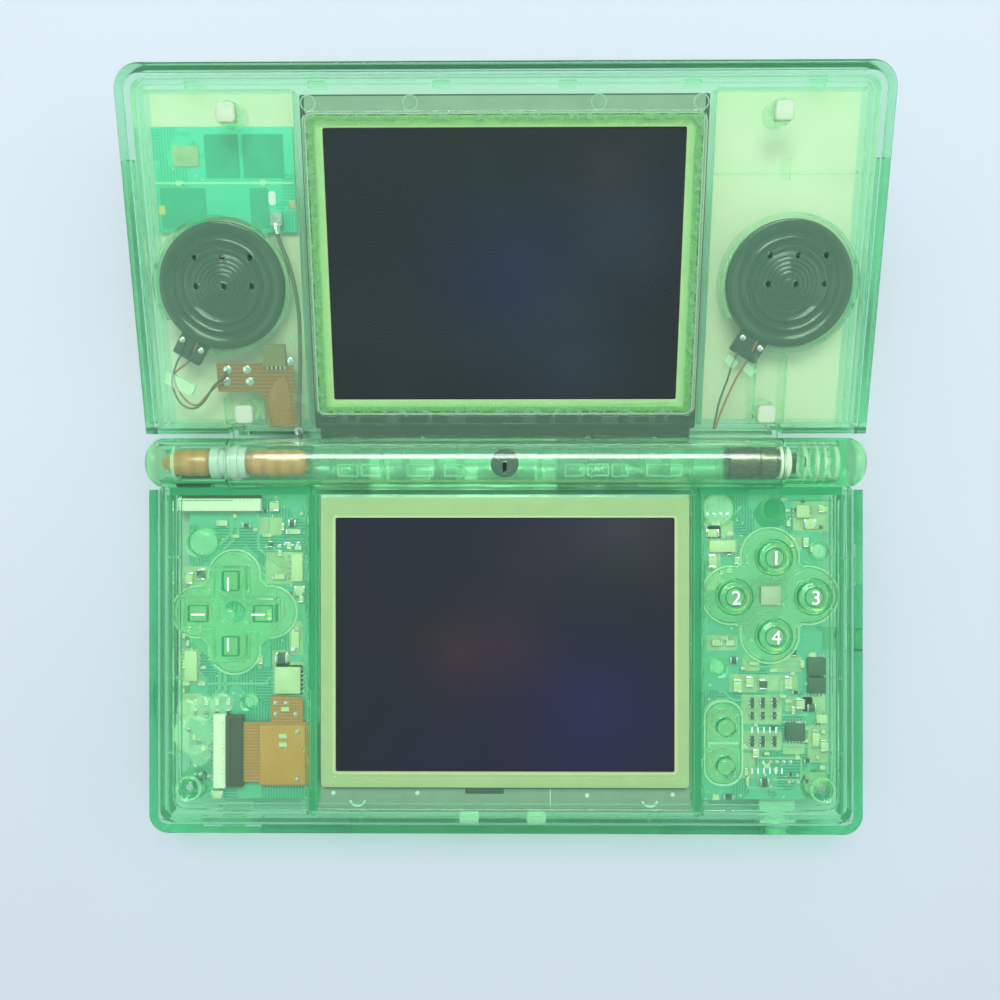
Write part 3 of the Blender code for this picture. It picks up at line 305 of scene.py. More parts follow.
def shift(x=0.0, y=0.0, z=0.0, turn=0.0):
    return Matrix.Translation((MM * x, MM * y, MM * z)) @ Matrix.Rotation(math.radians(turn), 4, "Z")


def shaped_by(piece, others, operation):
    """Cuts the others out of a piece, or welds them to it."""
    for other in others:
        modifier = piece.modifiers.new(operation.lower(), "BOOLEAN")
        modifier.operation = operation
        modifier.object = other
        modifier.solver = "EXACT"
    apply_all(piece)
    for other in others:
        bpy.data.objects.remove(other)
    return piece


def cut(piece, *others):
    return shaped_by(piece, others, "DIFFERENCE")


def weld(piece, *others):
    return shaped_by(piece, others, "UNION")


def span(middle, length):
    return (middle - length / 2, middle + length / 2)


def both(half):
    return (-half, half)


def on_side(side, near, far):
    """The two ends in x of what lies this near and far to the left (-1) or the right (1)."""
    return sorted((side * near, side * far))


def four_round(centre, reach):
    """The four places round a centre: behind it, left, right and in front."""
    return [(centre[0] + reach * a, centre[1] + reach * b) for a, b in FOUR_WAYS]


def lid_block(name, x, u, w, **options):
    return block(name, x, (-u[1], -u[0]), w, **options)


def lid_rod(name, at, radius, w, **options):
    return rod(name, (at[0], -at[1]), radius, w, **options)


def lid_flat(name, outline, w, edge=0.0, holes=()):
    outline, *holes = ([(x, -u) for x, u in loop] for loop in (outline, *holes))
    return flat(name, outline, w, edge, holes)


def lid_wire(name, route, radius, resolution=3):
    return wire(name, [(x, -u, w) for x, u, w in route], radius, resolution)


def place(piece, body, finish, replaces=(), degrees=35):
    """Finishes a piece: its material, smooth faces, the body that it rides on and what it stands for."""
    if not piece.data.has_custom_normals:
        smooth(piece, degrees)
    piece.data.materials.clear()
    piece.data.materials.append(finish)
    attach(piece, body)
    if replaces:
        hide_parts(*replaces)
    return piece


def place_on_lid(piece, finish, replaces=(), degrees=35):
    """Opens a piece that was made as on the closed lid, and finishes it."""
    piece.data.transform(LID)
    return place(piece, "lid", finish, replaces, degrees)


def copy_node(node, name):
    """A copy of a CAD piece with its loose triangles merged into larger faces."""
    piece = new_object(name, frame["nodes"][node].data.copy())
    open_edit(piece, "VERT")
    bpy.ops.mesh.remove_doubles(threshold=MERGE)
    bpy.ops.mesh.dissolve_limited(angle_limit=math.radians(0.5))
    close_edit()
    return piece


def soften(piece, width, steps=2, degrees=40):
    """Takes the sharpness off every hard edge."""
    modifier = piece.modifiers.new("soft_edges", "BEVEL")
    modifier.width = width * MM
    modifier.segments = steps
    modifier.limit_method = "ANGLE"
    modifier.angle_limit = math.radians(degrees)
    modifier.use_clamp_overlap = False
    return apply_all(piece)


def even_normals(piece):
    """Lets the large faces set the shading, so that holes in a flat wall don't dent it."""
    smooth(piece)
    modifier = piece.modifiers.new("even_normals", "WEIGHTED_NORMAL")
    modifier.keep_sharp = True
    modifier.weight = 100
    return apply_all(piece)


# Finishes


class Finish:
    """A material and short ways to add nodes to it."""

    def __init__(self, name):
        self.material = bpy.data.materials.new(name)
        self.material.use_nodes = True
        self.tree = self.material.node_tree
        self.tree.nodes.clear()
        self.out = self.tree.nodes.new("ShaderNodeOutputMaterial")
        self.shader = self.tree.nodes.new("ShaderNodeBsdfPrincipled")
        self.join(self.shader.outputs[0], self.out.inputs["Surface"])
        self.place = self.tree.nodes.new("ShaderNodeTexCoord").outputs["Object"]

    def join(self, source, target):
        self.tree.links.new(source, target)

    def set(self, **values):
        for name, value in values.items():
            self.shader.inputs[name.replace("_", " ")].default_value = value
        return self

    def texture(self, kind, where=None, **values):
        """A node on the piece's own coordinates, or on others, with its inputs set."""
        node = self.tree.nodes.new(kind)
        for name, value in values.items():
            node.inputs[name].default_value = value
        self.join(where or self.place, node.inputs["Vector"])
        return node

    def scaled(self, x=1.0, y=1.0, z=1.0, at=(0, 0, 0)):
        return self.texture("ShaderNodeMapping", Scale=(x, y, z), Location=at).outputs[0]

    def noise(self, size, detail=3.0, rough=0.5, where=None):
        """Noise whose lumps are about this many millimetres across."""
        node = self.texture("ShaderNodeTexNoise", where, Scale=1 / (size * MM), Detail=detail,
                            Roughness=rough)
        return node.outputs["Fac"]

    def cells(self, size, metric="EUCLIDEAN", output="Distance"):
        """Cells about this many millimetres across."""
        node = self.texture("ShaderNodeTexVoronoi", Scale=1 / (size * MM))
        node.distance = metric
        return node.outputs[output]

    def bands(self, apart, direction):
        """Stripes this many millimetres apart."""
        node = self.texture("ShaderNodeTexWave", Scale=WAVE_LENGTH / (apart * MM))
        node.bands_direction = direction
        return node.outputs["Fac"]

    def spot(self, at, radius):
        """One in the middle of a round patch, falling softly to nothing at its rim."""
        scale = 1 / (radius * MM)
        where = self.scaled(scale, scale, scale, at=[-scale * MM * each for each in at])
        node = self.texture("ShaderNodeTexGradient", where)
        node.gradient_type = "QUADRATIC_SPHERE"
        return node.outputs["Fac"]

    def ramp(self, source, *stops, hard=False):
        """Turns a value into a colour or a grey. Each stop is a position and a colour."""
        node = self.tree.nodes.new("ShaderNodeValToRGB")
        node.color_ramp.interpolation = "CONSTANT" if hard else "LINEAR"
        elements = node.color_ramp.elements
        while len(elements) < len(stops):
            elements.new(0.5)
        for element, (position, colour) in zip(elements, stops):
            element.position = position
            grey = isinstance(colour, (int, float))
            element.color = (colour, colour, colour, 1) if grey else (*colour, 1)
        self.join(source, node.inputs[0])
        return node.outputs[0]

    def fill(self, socket, value):
        """Gives a socket a number, a colour or another node's result."""
        if isinstance(value, (int, float)):
            socket.default_value = value
        elif isinstance(value, tuple):
            socket.default_value = (*value, 1)
        else:
            self.join(value, socket)

    def mix(self, amount, first, second, blend="MIX"):
        node = self.tree.nodes.new("ShaderNodeMix")
        node.data_type = "RGBA"
        node.blend_type = blend
        colours = [socket for socket in node.inputs if socket.type == "RGBA"]
        for socket, value in zip((node.inputs[0], *colours), (amount, first, second)):
            self.fill(socket, value)
        return next(socket for socket in node.outputs if socket.type == "RGBA")

    def math(self, operation, first, second):
        node = self.tree.nodes.new("ShaderNodeMath")
        node.operation = operation
        for socket, value in zip(node.inputs, (first, second)):
            self.fill(socket, value)
        return node.outputs[0]

    def colour(self, source):
        self.join(source, self.shader.inputs["Base Color"])
        return self

    def roughness(self, source):
        self.join(source, self.shader.inputs["Roughness"])
        return self

    def bump(self, source, depth):
        """Raises the surface by up to this many millimetres."""
        node = self.tree.nodes.new("ShaderNodeBump")
        node.inputs["Distance"].default_value = depth * MM
        self.join(source, node.inputs["Height"])
        socket = self.shader.inputs["Normal"]
        if socket.is_linked:
            self.join(socket.links[0].from_socket, node.inputs["Normal"])
        self.join(node.outputs[0], socket)
        return self

    def soft_light(self):
        """One on the rays that carry lamps' light and the room's soft light to a surface."""
        path = self.tree.nodes.new("ShaderNodeLightPath")
        return self.math("MAXIMUM", path.outputs["Is Shadow Ray"], path.outputs["Is Diffuse Ray"])

    def see_through(self, colour):
        node = self.tree.nodes.new("ShaderNodeBsdfTransparent")
        node.inputs["Color"].default_value = (*colour, 1)
        return node.outputs[0]

    def surface(self, amount, first, second):
        """Makes the surface a blend of two shaders."""
        node = self.tree.nodes.new("ShaderNodeMixShader")
        for socket, source in zip(node.inputs, (amount, first, second)):
            self.join(source, socket)
        self.join(node.outputs[0], self.out.inputs["Surface"])
        return self

    def lets_lamps_through(self, tint):
        """Lamps shine through the piece onto what is inside it."""
        return self.surface(self.soft_light(), self.shader.outputs[0], self.see_through(tint))

    def tinted_inside(self, loss):
        """Colours light by how far it goes through the piece. loss is what each colour loses in a metre."""
        node = self.tree.nodes.new("ShaderNodeVolumeAbsorption")
        most = max(loss)
        node.inputs["Color"].default_value = (*(1 - each / most for each in loss), 1)
        node.inputs["Density"].default_value = most
        self.join(node.outputs[0], self.out.inputs["Volume"])
        return self


# How far apart the Wave texture's own stripes are before it is scaled
WAVE_LENGTH = 0.314
SOFT_EDGE = ((0.35, 0.0), (0.65, 1.0))


def clear_plastic(name, pale, deep, loss, rough=0.12, clear=0.985, ior=1.22, haze=0.085,
                  glow=(0.30, 1.0, 0.50), coat=0.08, shadow=(0.945, 1.0, 0.95)):
    """Tinted clear moulding. Its skin scatters some green light, most where it is seen edge on."""
    finish = Finish(name).set(Transmission_Weight=clear, IOR=ior, Sheen_Weight=haze, Sheen_Roughness=1.0,
                              Sheen_Tint=(*glow, 1.0), Coat_Weight=coat, Coat_Roughness=0.05)
    flow, fine = finish.noise(9.0, 2.0), finish.noise(0.7, 2.0)
    finish.colour(finish.mix(finish.ramp(flow, *SOFT_EDGE), pale, deep))
    finish.roughness(finish.ramp(fine, (0.35, rough * 0.8), (0.7, rough * 1.3)))
    return finish.lets_lamps_through(shadow).tinted_inside(loss).material


def dimmed(colour, share):
    return tuple(share * each for each in colour)


def moulded(name, colour, rough, grain=0.15, shade=0.85, **settings):
    """Solid moulded plastic or rubber with a fine grain and slightly uneven colour."""
    finish = Finish(name).set(**settings)
    broad, fine = finish.noise(3.0, 3.0), finish.noise(grain, 2.0)
    finish.colour(finish.mix(finish.ramp(broad, (0.3, 0.0), (0.7, 1.0)), colour, dimmed(colour, shade)))
    finish.roughness(finish.ramp(fine, (0.3, rough * 0.8), (0.7, min(rough * 1.25, 1.0))))
    return finish.bump(fine, 0.01).material


def metal(name, colour, rough, along=(1.0, 0.04, 1.0)):
    """Metal with a brushed grain along one direction and a few duller patches."""
    finish = Finish(name).set(Metallic=1.0)
    grain = finish.noise(0.12, 3.0, 0.6, finish.scaled(*along))
    stain = finish.noise(2.5, 3.0)
    finish.colour(finish.mix(finish.ramp(stain, (0.4, 0.0), (0.75, 1.0)), colour, dimmed(colour, 0.7)))
    finish.roughness(finish.ramp(grain, (0.3, rough * 0.7), (0.7, rough * 1.5)))
    return finish.bump(grain, 0.004).material


def board_finish(name, mask, copper, laminate):
    """Solder mask over copper: broad pours, fine tracks in two directions and plated holes."""
    finish = Finish(name).set(Coat_Weight=0.4, Coat_Roughness=0.15)

    def patches(size, share):
        cells = finish.cells(size, "CHEBYCHEV", "Color")
        return finish.ramp(cells, (0.0, 0.0), (share, 1.0), hard=True)

    def lines(direction):
        return finish.ramp(finish.bands(0.55, direction), (0.0, 0.0), (0.55, 1.0), hard=True)

    tracks = finish.mix(patches(7.0, 0.5), lines("X"), lines("Y"))
    copper_here = finish.mix(patches(5.0, 0.42), tracks, (1.0, 1.0, 1.0))
    base = finish.mix(copper_here, mask, copper)
    holes = finish.ramp(finish.cells(2.2), (0.0, 1.0), (0.10, 1.0), (0.13, 0.0), hard=True)
    finish.colour(finish.mix(holes, base, laminate))
    finish.roughness(finish.ramp(finish.noise(0.8), (0.3, 0.30), (0.7, 0.5)))
    return finish.bump(copper_here, 0.03).bump(holes, 0.03).material


def ribbon_finish(name, film, tracks, direction, apart):
    """Polyimide film with copper tracks showing through it."""
    finish = Finish(name).set(Coat_Weight=0.6, Coat_Roughness=0.12)
    line = finish.ramp(finish.bands(apart, direction), (0.3, 0.0), (0.6, 1.0))
    finish.colour(finish.mix(line, finish.mix(finish.noise(4.0, 2.0), film, dimmed(film, 0.7)), tracks))
    finish.roughness(finish.ramp(finish.noise(0.6), (0.3, 0.25), (0.7, 0.4)))
    return finish.bump(line, 0.01).material


def dark_screen(name, dark, tint, glow, size, spots):
    """An unlit display under glass: nearly black, with soft uneven tints, patches of painted glow and a few faint
    spots of painted light.
    """
    finish = Finish(name).set(Coat_Weight=0.75, Coat_Roughness=0.03, Roughness=0.4, Specular_IOR_Level=0.1)
    cloud = finish.ramp(finish.noise(size, 1.0, 0.4), (0.38, 0.0), (0.62, 1.0))
    elsewhere = finish.scaled(at=(0.3, 0.1, 0.0))
    # The patches mixed towards glow are painted glow, and each spot adds painted light.
    patch = finish.ramp(finish.noise(0.6 * size, 1.0, 0.4, elsewhere), (0.5, 0.0), (0.75, 1.0))
    tone = finish.mix(patch, finish.mix(cloud, dark, tint), glow)
    for at, radius, colour in spots:
        tone = finish.mix(finish.spot(at, radius), tone, colour, "ADD")
    finish.colour(tone)
    dust = finish.ramp(finish.noise(0.35, 2.0, 0.8), (0.72, 0.0), (0.78, 1.0))
    return finish.bump(dust, 0.004).material


def blotched_glue(name):
    """A thin line of clear glue that has wetted the plastic unevenly."""
    finish = Finish(name).set(Roughness=0.4, Base_Color=(0.20, 0.46, 0.22, 1.0))
    blot = finish.ramp(finish.noise(1.3, 4.0, 0.65), (0.42, 0.15), (0.60, 0.75))
    return finish.surface(blot, finish.see_through((0.92, 1.0, 0.86)), finish.shader.outputs[0]).material


def milky_film(name, colour, clear, amount):
    """A thin cloudy skin that scatters part of the light and lets the rest through."""
    finish = Finish(name).set(Roughness=0.6, Specular_IOR_Level=0.2)
    finish.colour(finish.mix(finish.ramp(finish.noise(12.0, 2.0), *SOFT_EDGE), colour, dimmed(colour, 0.94)))
    shown = finish.math("MULTIPLY", finish.math("SUBTRACT", 1.0, finish.soft_light()), amount)
    return finish.surface(shown, finish.see_through(clear), finish.shader.outputs[0]).material


def on_open_lid(x, u, w):
    return LID @ Vector((MM * x, -MM * u, MM * w)) / MM


# What each clear plastic takes of red, green and blue in a metre
CASE_LOSS = (120.0, 20.0, 58.0)
PANEL_LOSS = (60.0, 9.0, 30.0)
LID_LOSS = (62.0, 8.0, 36.0)
EDGE_LOSS = (160.0, 30.0, 110.0)
BUTTON_LOSS = (45.0, 6.0, 30.0)
LID_SHADOW = (0.98, 1.0, 0.975)

SHELL = clear_plastic("clear_green_case", (0.90, 0.975, 0.90), (0.87, 0.955, 0.87), CASE_LOSS)
PANEL = clear_plastic("clear_green_panel", (0.88, 0.97, 0.885), (0.85, 0.95, 0.855), PANEL_LOSS)
LID_SHELL = clear_plastic("clear_green_lid", (0.88, 1.0, 0.89), (0.86, 0.995, 0.865), LID_LOSS,
                          coat=0.8, shadow=LID_SHADOW)
LID_BACK = clear_plastic("clear_green_back", (0.90, 1.0, 0.91), (0.88, 0.995, 0.88), LID_LOSS,
                         shadow=LID_SHADOW)
# DEEP_SHELL and EMERALD also colour dark rings, lines and walls that are painted shade round the buttons, the mats
# and the bays.
DEEP_SHELL = clear_plastic("clear_green_edge", (0.62, 0.96, 0.76), (0.56, 0.94, 0.72), EDGE_LOSS)
EMERALD = clear_plastic("emerald_edge", (0.05, 0.42, 0.22), (0.04, 0.38, 0.20), EDGE_LOSS, clear=0.55)
LINER = clear_plastic("clear_liner", (0.77, 0.99, 0.88), (0.73, 0.98, 0.85), (40.0, 6.0, 20.0),
                      rough=0.2, clear=0.96, ior=1.12, haze=0.05, coat=0.0)
BUTTON = clear_plastic("clear_button", (0.88, 1.0, 0.90), (0.84, 0.99, 0.87), BUTTON_LOSS,
                       rough=0.06, ior=1.33)
SILICONE = clear_plastic("clear_silicone", (0.92, 1.0, 0.86), (0.89, 0.98, 0.83), (50.0, 8.0, 45.0),
                         rough=0.16, clear=0.96, ior=1.36, haze=0.15, glow=(0.75, 1.0, 0.68))
RIM_LINE = clear_plastic("silicone_rim", (0.94, 1.0, 0.88), (0.92, 1.0, 0.86), (20.0, 4.0, 20.0),
                         rough=0.2, clear=0.9, ior=1.36, haze=0.45, glow=(0.66, 1.0, 0.70))
GLUE_BLOB = clear_plastic("set_glue", (0.90, 1.0, 0.84), (0.80, 0.96, 0.74), (60.0, 20.0, 60.0),
                          rough=0.2, clear=0.8, ior=1.4, haze=0.25, glow=(0.7, 1.0, 0.7))
LENS = clear_plastic("clear_lens", (0.99, 1.0, 0.98), (0.97, 1.0, 0.96), (6.0, 1.0, 4.0),
                     rough=0.02, clear=1.0, ior=1.2, haze=0.0, coat=0.0)
GLUE = blotched_glue("window_glue")
FILM = milky_film("lid_film", (0.82, 0.80, 0.57), (0.99, 0.99, 0.97), 0.58)

BOARD = board_finish("green_board", (0.030, 0.28, 0.16), (0.10, 0.45, 0.27), (0.45, 0.62, 0.40))
AERIAL = board_finish("turquoise_board", (0.020, 0.47, 0.27), (0.045, 0.60, 0.36), (0.16, 0.64, 0.40))

SPEAKER = moulded("speaker_black", (0.012, 0.040, 0.022), 0.17, grain=1.6)
BLACK = moulded("black_plastic", (0.018, 0.034, 0.024), 0.45)
LATCH = moulded("latch_plastic", (0.045, 0.022, 0.016), 0.4)
TAPE = moulded("black_tape", (0.008, 0.018, 0.012), 0.5, grain=0.6, Specular_IOR_Level=0.15)
CREAM = moulded("cream_plastic", (0.86, 0.86, 0.66), 0.45, shade=0.94)
FRAME_WHITE = moulded("pale_screen_frame", (0.45, 0.49, 0.23), 0.5, shade=0.93)
UPPER_FRAME = moulded("upper_screen_frame", (0.36, 0.58, 0.24), 0.5, shade=0.93)
STEP_PALE = moulded("pale_screen_step", (0.44, 0.58, 0.28), 0.5, shade=0.95)
CHIP = moulded("chip_resin", (0.040, 0.090, 0.055), 0.45, grain=0.1)
WHITE = moulded("white_plastic", (0.85, 0.86, 0.84), 0.40)
INK = moulded("white_ink", (0.86, 0.92, 0.90), 0.45, grain=0.1, shade=0.96)
FAINT_INK = moulded("faint_ink", (0.60, 0.80, 0.68), 0.45, grain=0.1, shade=0.9)
RUBBER = moulded("pale_rubber", (0.78, 0.92, 0.72), 0.7, grain=0.3, shade=0.97, Transmission_Weight=0.5)
RED_LEAD = moulded("red_insulation", (0.42, 0.12, 0.06), 0.4)
BLACK_LEAD = moulded("black_insulation", (0.07, 0.11, 0.05), 0.4)
CELL = moulded("battery_wrap", (0.36, 0.50, 0.40), 0.5)
CERAMIC = moulded("pale_ceramic", (0.58, 0.72, 0.38), 0.5, grain=0.1)
CARBON = moulded("contact_disc", (0.20, 0.42, 0.26), 0.35)
TRACK = moulded("masked_copper", (0.16, 0.52, 0.27), 0.30, shade=0.9)
GREY_BAND = moulded("grey_green_band", (0.24, 0.31, 0.23), 0.45)
MILK = moulded("milky_plastic", (0.80, 0.90, 0.80), 0.35, Transmission_Weight=0.35)
BEIGE = moulded("beige_patch", (0.56, 0.56, 0.40), 0.5)
PALE_LAND = moulded("pale_land", (0.40, 0.60, 0.31), 0.4, grain=0.3, shade=0.7)
AERIAL_LAND = moulded("turquoise_land", (0.015, 0.42, 0.23), 0.35)
JACK = moulded("green_jack", (0.30, 0.62, 0.40), 0.4)
SOCKET = moulded("brown_socket", (0.22, 0.18, 0.07), 0.4)

EVEN_GRAIN = (1.0, 1.0, 1.0)
STEEL = metal("plain_steel", (0.62, 0.63, 0.64), 0.28)
BRIGHT_TIN = metal("tinned_sheet", (0.86, 0.90, 0.86), 0.5)
TIN = metal("bright_solder", (0.80, 0.82, 0.80), 0.20, EVEN_GRAIN)
GOLD = metal("gold_pads", (0.90, 0.68, 0.30), 0.25, EVEN_GRAIN)
TRAY = metal("screen_tray", (0.42, 0.45, 0.43), 0.35)
GUN = metal("dark_steel", (0.19, 0.16, 0.12), 0.24, along=(0.04, 1.0, 1.0))

AMBER = ribbon_finish("brown_ribbon", (0.47, 0.17, 0.025), (0.54, 0.21, 0.035), "Y", 0.6)
AMBER_UP = ribbon_finish("amber_ribbon", (0.70, 0.29, 0.025), (0.60, 0.23, 0.02), "X", 0.8)
BROWN = ribbon_finish("lid_ribbon_film", (0.26, 0.10, 0.015), (0.33, 0.13, 0.02), "Y", 0.7)
LEAF = ribbon_finish("ribbon_copper", (0.42, 0.16, 0.025), (0.36, 0.13, 0.02), "X", 1.4)
WOUND = ribbon_finish("wound_ribbon", (0.58, 0.23, 0.055), (0.60, 0.245, 0.06), "X", 2.6)

# The faint spots of painted light in each dark display: middle, radius and the colour that is added there
UPPER_PAINTED_LIGHT_SPOTS = (
    (on_open_lid(2, 34, 3.5), 30.0, (0.003, 0.004, 0.038)),
    (on_open_lid(22, 43, 3.5), 22.0, (0.004, 0.003, 0.022)),
    (on_open_lid(18, 53, 3.5), 14.0, (0.010, 0.003, 0.002)),
    (on_open_lid(14, 18, 3.5), 20.0, (0.006, 0.012, 0.018)),
)
LOWER_PAINTED_LIGHT_SPOTS = (
    ((-8.8, -3.3, 10.4), 18.0, (0.018, 0.005, 0.004)),
    ((1.2, -1.3, 10.4), 17.0, (0.012, 0.003, 0.005)),
    ((17.0, -12.6, 10.4), 27.0, (0.004, 0.002, 0.030)),
    ((22.0, 22.0, 10.4), 26.0, (0.022, 0.022, 0.018)),
    ((4.0, 14.0, 10.4), 20.0, (0.008, 0.005, 0.006)),
)
UPPER_DARK = dark_screen("upper_display", (0.002, 0.010, 0.007), (0.003, 0.009, 0.012),
                         (0.006, 0.016, 0.012), 34.0, UPPER_PAINTED_LIGHT_SPOTS)
LOWER_DARK = dark_screen("lower_display", (0.006, 0.012, 0.016), (0.008, 0.010, 0.026),
                         (0.014, 0.012, 0.018), 48.0, LOWER_PAINTED_LIGHT_SPOTS)


# The two shells of each half


# Where long faces are divided, so that a hole doesn't bend the shading of the whole length
SEAMS = {
    "lid_bezel": (-56.0, -46.0, -30.0, -14.0, -6.0, -3.4, 3.4, 6.0, 14.0, 30.0, 46.0, 56.0),
    "front_panel": (-61.5, -59.6, -53.6, 53.6, 59.6, 61.5),
}


def dress_shells():
    for node, finish, body in (
        ("rear_case", SHELL, "base"),
        ("front_panel", PANEL, "base"),
        ("lid_cover", LID_BACK, "lid"),
        ("lid_bezel", LID_SHELL, "lid"),
    ):
        piece = divide(copy_node(node, f"{node}_shell"), SEAMS.get(node, ()))
        place(even_normals(soften(piece, 0.12)), body, finish, (node,))


# The base: its board and what stands on it


BOARD_TOP = 7.5
SOLDER = 0.12


def solder_pads(name, places, size, height=SOLDER, sides=8):
    """Low rounded blobs of solder: one is modelled and the rest are its copies."""
    first = turned(name, (0, 0), ((size, 0.0), (size * 0.9, height * 0.6), (size * 0.5, height)), sides=sides)
    copies = [copy_of(first, f"{name}_{k}", shift(x, y, z)) for k, (x, y, z) in enumerate(places)]
    bpy.data.objects.remove(first)
    return joined(name, copies)


def make_board():
    plate = block("board_plate", both(60.2), (-31.6, 27.2), (6.6, BOARD_TOP), corner=1.2, corner_steps=3)
    notches = [rod("notch", (x, -29.0), 3.4, (0, 20), sides=32) for x in both(59.5)]
    place(cut(plate, *notches), "base", BOARD, ("main_board",))
    card = block("radio_card", (36.5, 56.5), (4.5, 26.2), (3.0, 4.2), corner=0.8)
    link = block("radio_plug", (42.0, 50.0), (12.0, 20.0), (4.2, 6.6), corner=0.3)
    can = block("radio_can", (38.5, 54.5), (7.0, 23.5), (1.8, 3.0), corner=0.8)
    place(card, "base", BOARD)
    place(round_edges(link, 0.2), "base", CREAM)
    place(can, "base", STEEL)


# Each chip's ends in x and y, its height, the pins along each of its long sides, and whether it is a pale one
CHIPS = (
    ("driver_upper", (57.3, 60.7), (-7.9, -4.6), 1.0, 5, False),
    ("driver_lower", (57.3, 60.7), (-11.3, -8.3), 1.0, 5, False),
    ("power_chip", (53.1, 56.8), (-20.3, -17.0), 0.9, 6, False),
    ("clock_chip", (38.7, 43.7), (15.4, 17.6), 0.7, 5, True),
    ("pad_chip", (-61.0, -58.6), (-9.2, -3.4), 0.7, 6, True),
    ("jumper_chip", (-40.6, -38.4), (9.8, 15.1), 0.8, 5, True),
    ("grid_chip", (-43.8, -38.9), (-11.6, -6.5), 0.6, 6, True),
    ("corner_chip", (55.2, 57.6), (21.9, 24.3), 0.8, 3, True),
    ("edge_chip", (59.0, 61.0), (-17.0, -15.4), 0.7, 3, True),
)


def make_chips():
    pin = block("pin", both(0.16), both(0.45), (0.0, 0.22))
    round_edges(pin, 0.05, 1)
    dark, pale, pins = [], [], []
    for name, x, y, height, count, is_pale in CHIPS:
        group = pale if is_pale else dark
        group.append(block(name, x, y, (BOARD_TOP + 0.1, BOARD_TOP + height), corner=0.15, edge=0.12))
        group.append(rod(f"{name}_mark", (x[0] + 0.6, y[1] - 0.6), 0.22,
                         (BOARD_TOP + height - 0.1, BOARD_TOP + height + 0.02), sides=12))
        upright_chip = y[1] - y[0] > x[1] - x[0]
        along, sides = (y, x) if upright_chip else (x, y)
        for k in range(count):
            step = along[0] + (along[1] - along[0]) * (k + 0.5) / count
            for end, out in ((sides[0], -0.3), (sides[1], 0.3)):
                at = (end + out, step) if upright_chip else (step, end + out)
                pins.append(copy_of(pin, f"{name}_pin", shift(*at, BOARD_TOP, 90 if upright_chip else 0)))
    bpy.data.objects.remove(pin)
    place(joined("chips", dark), "base", CHIP)
    place(joined("pale_chips", pale), "base", CERAMIC)
    place(joined("chip_pins", pins), "base", TIN)


# Small parts: middle in x and y, length, width, quarter turn, and whether it is a pale one
SMALL_PARTS = [
    (44.1, -10.0, 2.6, 1.5, 90, True), (46.4, -9.2, 2.1, 1.4, 90, True), (49.0, -9.7, 2.0, 1.4, 90, False),
    (53.7, -9.4, 2.5, 1.4, 90, True), (56.0, -13.4, 2.0, 1.6, 90, True), (58.1, -14.1, 1.7, 1.4, 0, False),
    (58.9, -19.9, 3.4, 1.3, 90, True), (60.5, -21.3, 2.3, 1.4, 90, True), (47.6, -22.8, 1.6, 1.2, 90, True),
    (49.2, -28.3, 1.7, 1.5, 0, False), (40.0, -31.1, 1.6, 1.0, 0, True), (42.4, -31.0, 2.0, 1.0, 0, False),
    (57.8, 20.7, 2.3, 1.8, 0, True), (60.2, 23.6, 1.4, 1.5, 90, True), (39.4, 19.0, 2.5, 1.5, 0, True),
    (39.4, 13.6, 2.6, 1.5, 90, True), (43.4, -5.1, 1.4, 1.2, 0, False), (40.2, -1.8, 1.9, 1.1, 0, True),
    (42.8, -1.8, 1.7, 1.1, 0, True), (54.5, 17.2, 1.8, 1.0, 90, True), (57.0, 17.2, 1.8, 1.0, 90, True),
    (-60.2, 10.3, 2.2, 1.4, 90, True), (-57.9, 11.1, 2.2, 1.6, 90, False), (-39.1, 8.0, 2.0, 1.8, 0, True),
    (-43.0, 10.7, 2.6, 1.0, 0, True), (-39.9, -1.3, 4.6, 1.5, 90, True), (-42.5, -4.8, 2.4, 2.0, 0, False),
    (-53.8, 20.9, 2.1, 1.1, 0, True), (-43.9, 24.1, 2.0, 1.8, 90, True), (-40.5, 20.9, 1.4, 1.3, 0, False),
    (-40.2, 19.3, 2.9, 1.0, 0, True), (-54.8, -30.8, 2.4, 1.4, 0, True), (-60.9, -6.0, 1.6, 1.0, 90, True),
    (-46.6, -5.2, 1.8, 1.0, 90, True), (-44.5, 3.5, 1.8, 1.0, 90, True), (-61.4, 3.0, 1.8, 1.0, 90, True),
]
for column in (46.9, 48.9, 51.1):
    for row in (-12.5, -13.2, -13.9, -15.2, -16.0, -19.8, -20.5, -21.2):
        SMALL_PARTS.append((column, row, 1.15, 0.52, 0, False))
for column in (-59.0, -56.9, -54.8, -52.7):
    for row in (-13.2, -15.3):
        SMALL_PARTS.append((column, row, 1.3, 0.7, 90, row > -14))
for k in range(5):
    SMALL_PARTS.append((-61.0 + 0.9 * k, -17.6 - 1.1 * k, 1.2, 0.65, 90, k % 2 == 0))
random.seed(11)
CROWDS = (
    ((44.6, 60.6), (-28.6, -3.4), 64), ((37.8, 44.6), (9.4, 21.0), 14), ((52.6, 60.6), (15.2, 25.6), 16),
    ((37.8, 43.8), (-4.2, -0.2), 10), ((-61.8, -56.0), (-12.6, 2.0), 14), ((-46.0, -38.6), (6.0, 24.6), 18),
    ((-56.5, -44.0), (17.6, 24.4), 10),
)
for x_ends, y_ends, count in CROWDS:
    for _ in range(count):
        spot = (random.uniform(*x_ends), random.uniform(*y_ends))
        if all(math.hypot(spot[0] - part[0], spot[1] - part[1]) > 1.5 for part in SMALL_PARTS):
            size = (random.uniform(0.9, 1.7), random.uniform(0.5, 0.9))
            SMALL_PARTS.append((*spot, *size, random.choice((0, 90)), random.random() < 0.75))


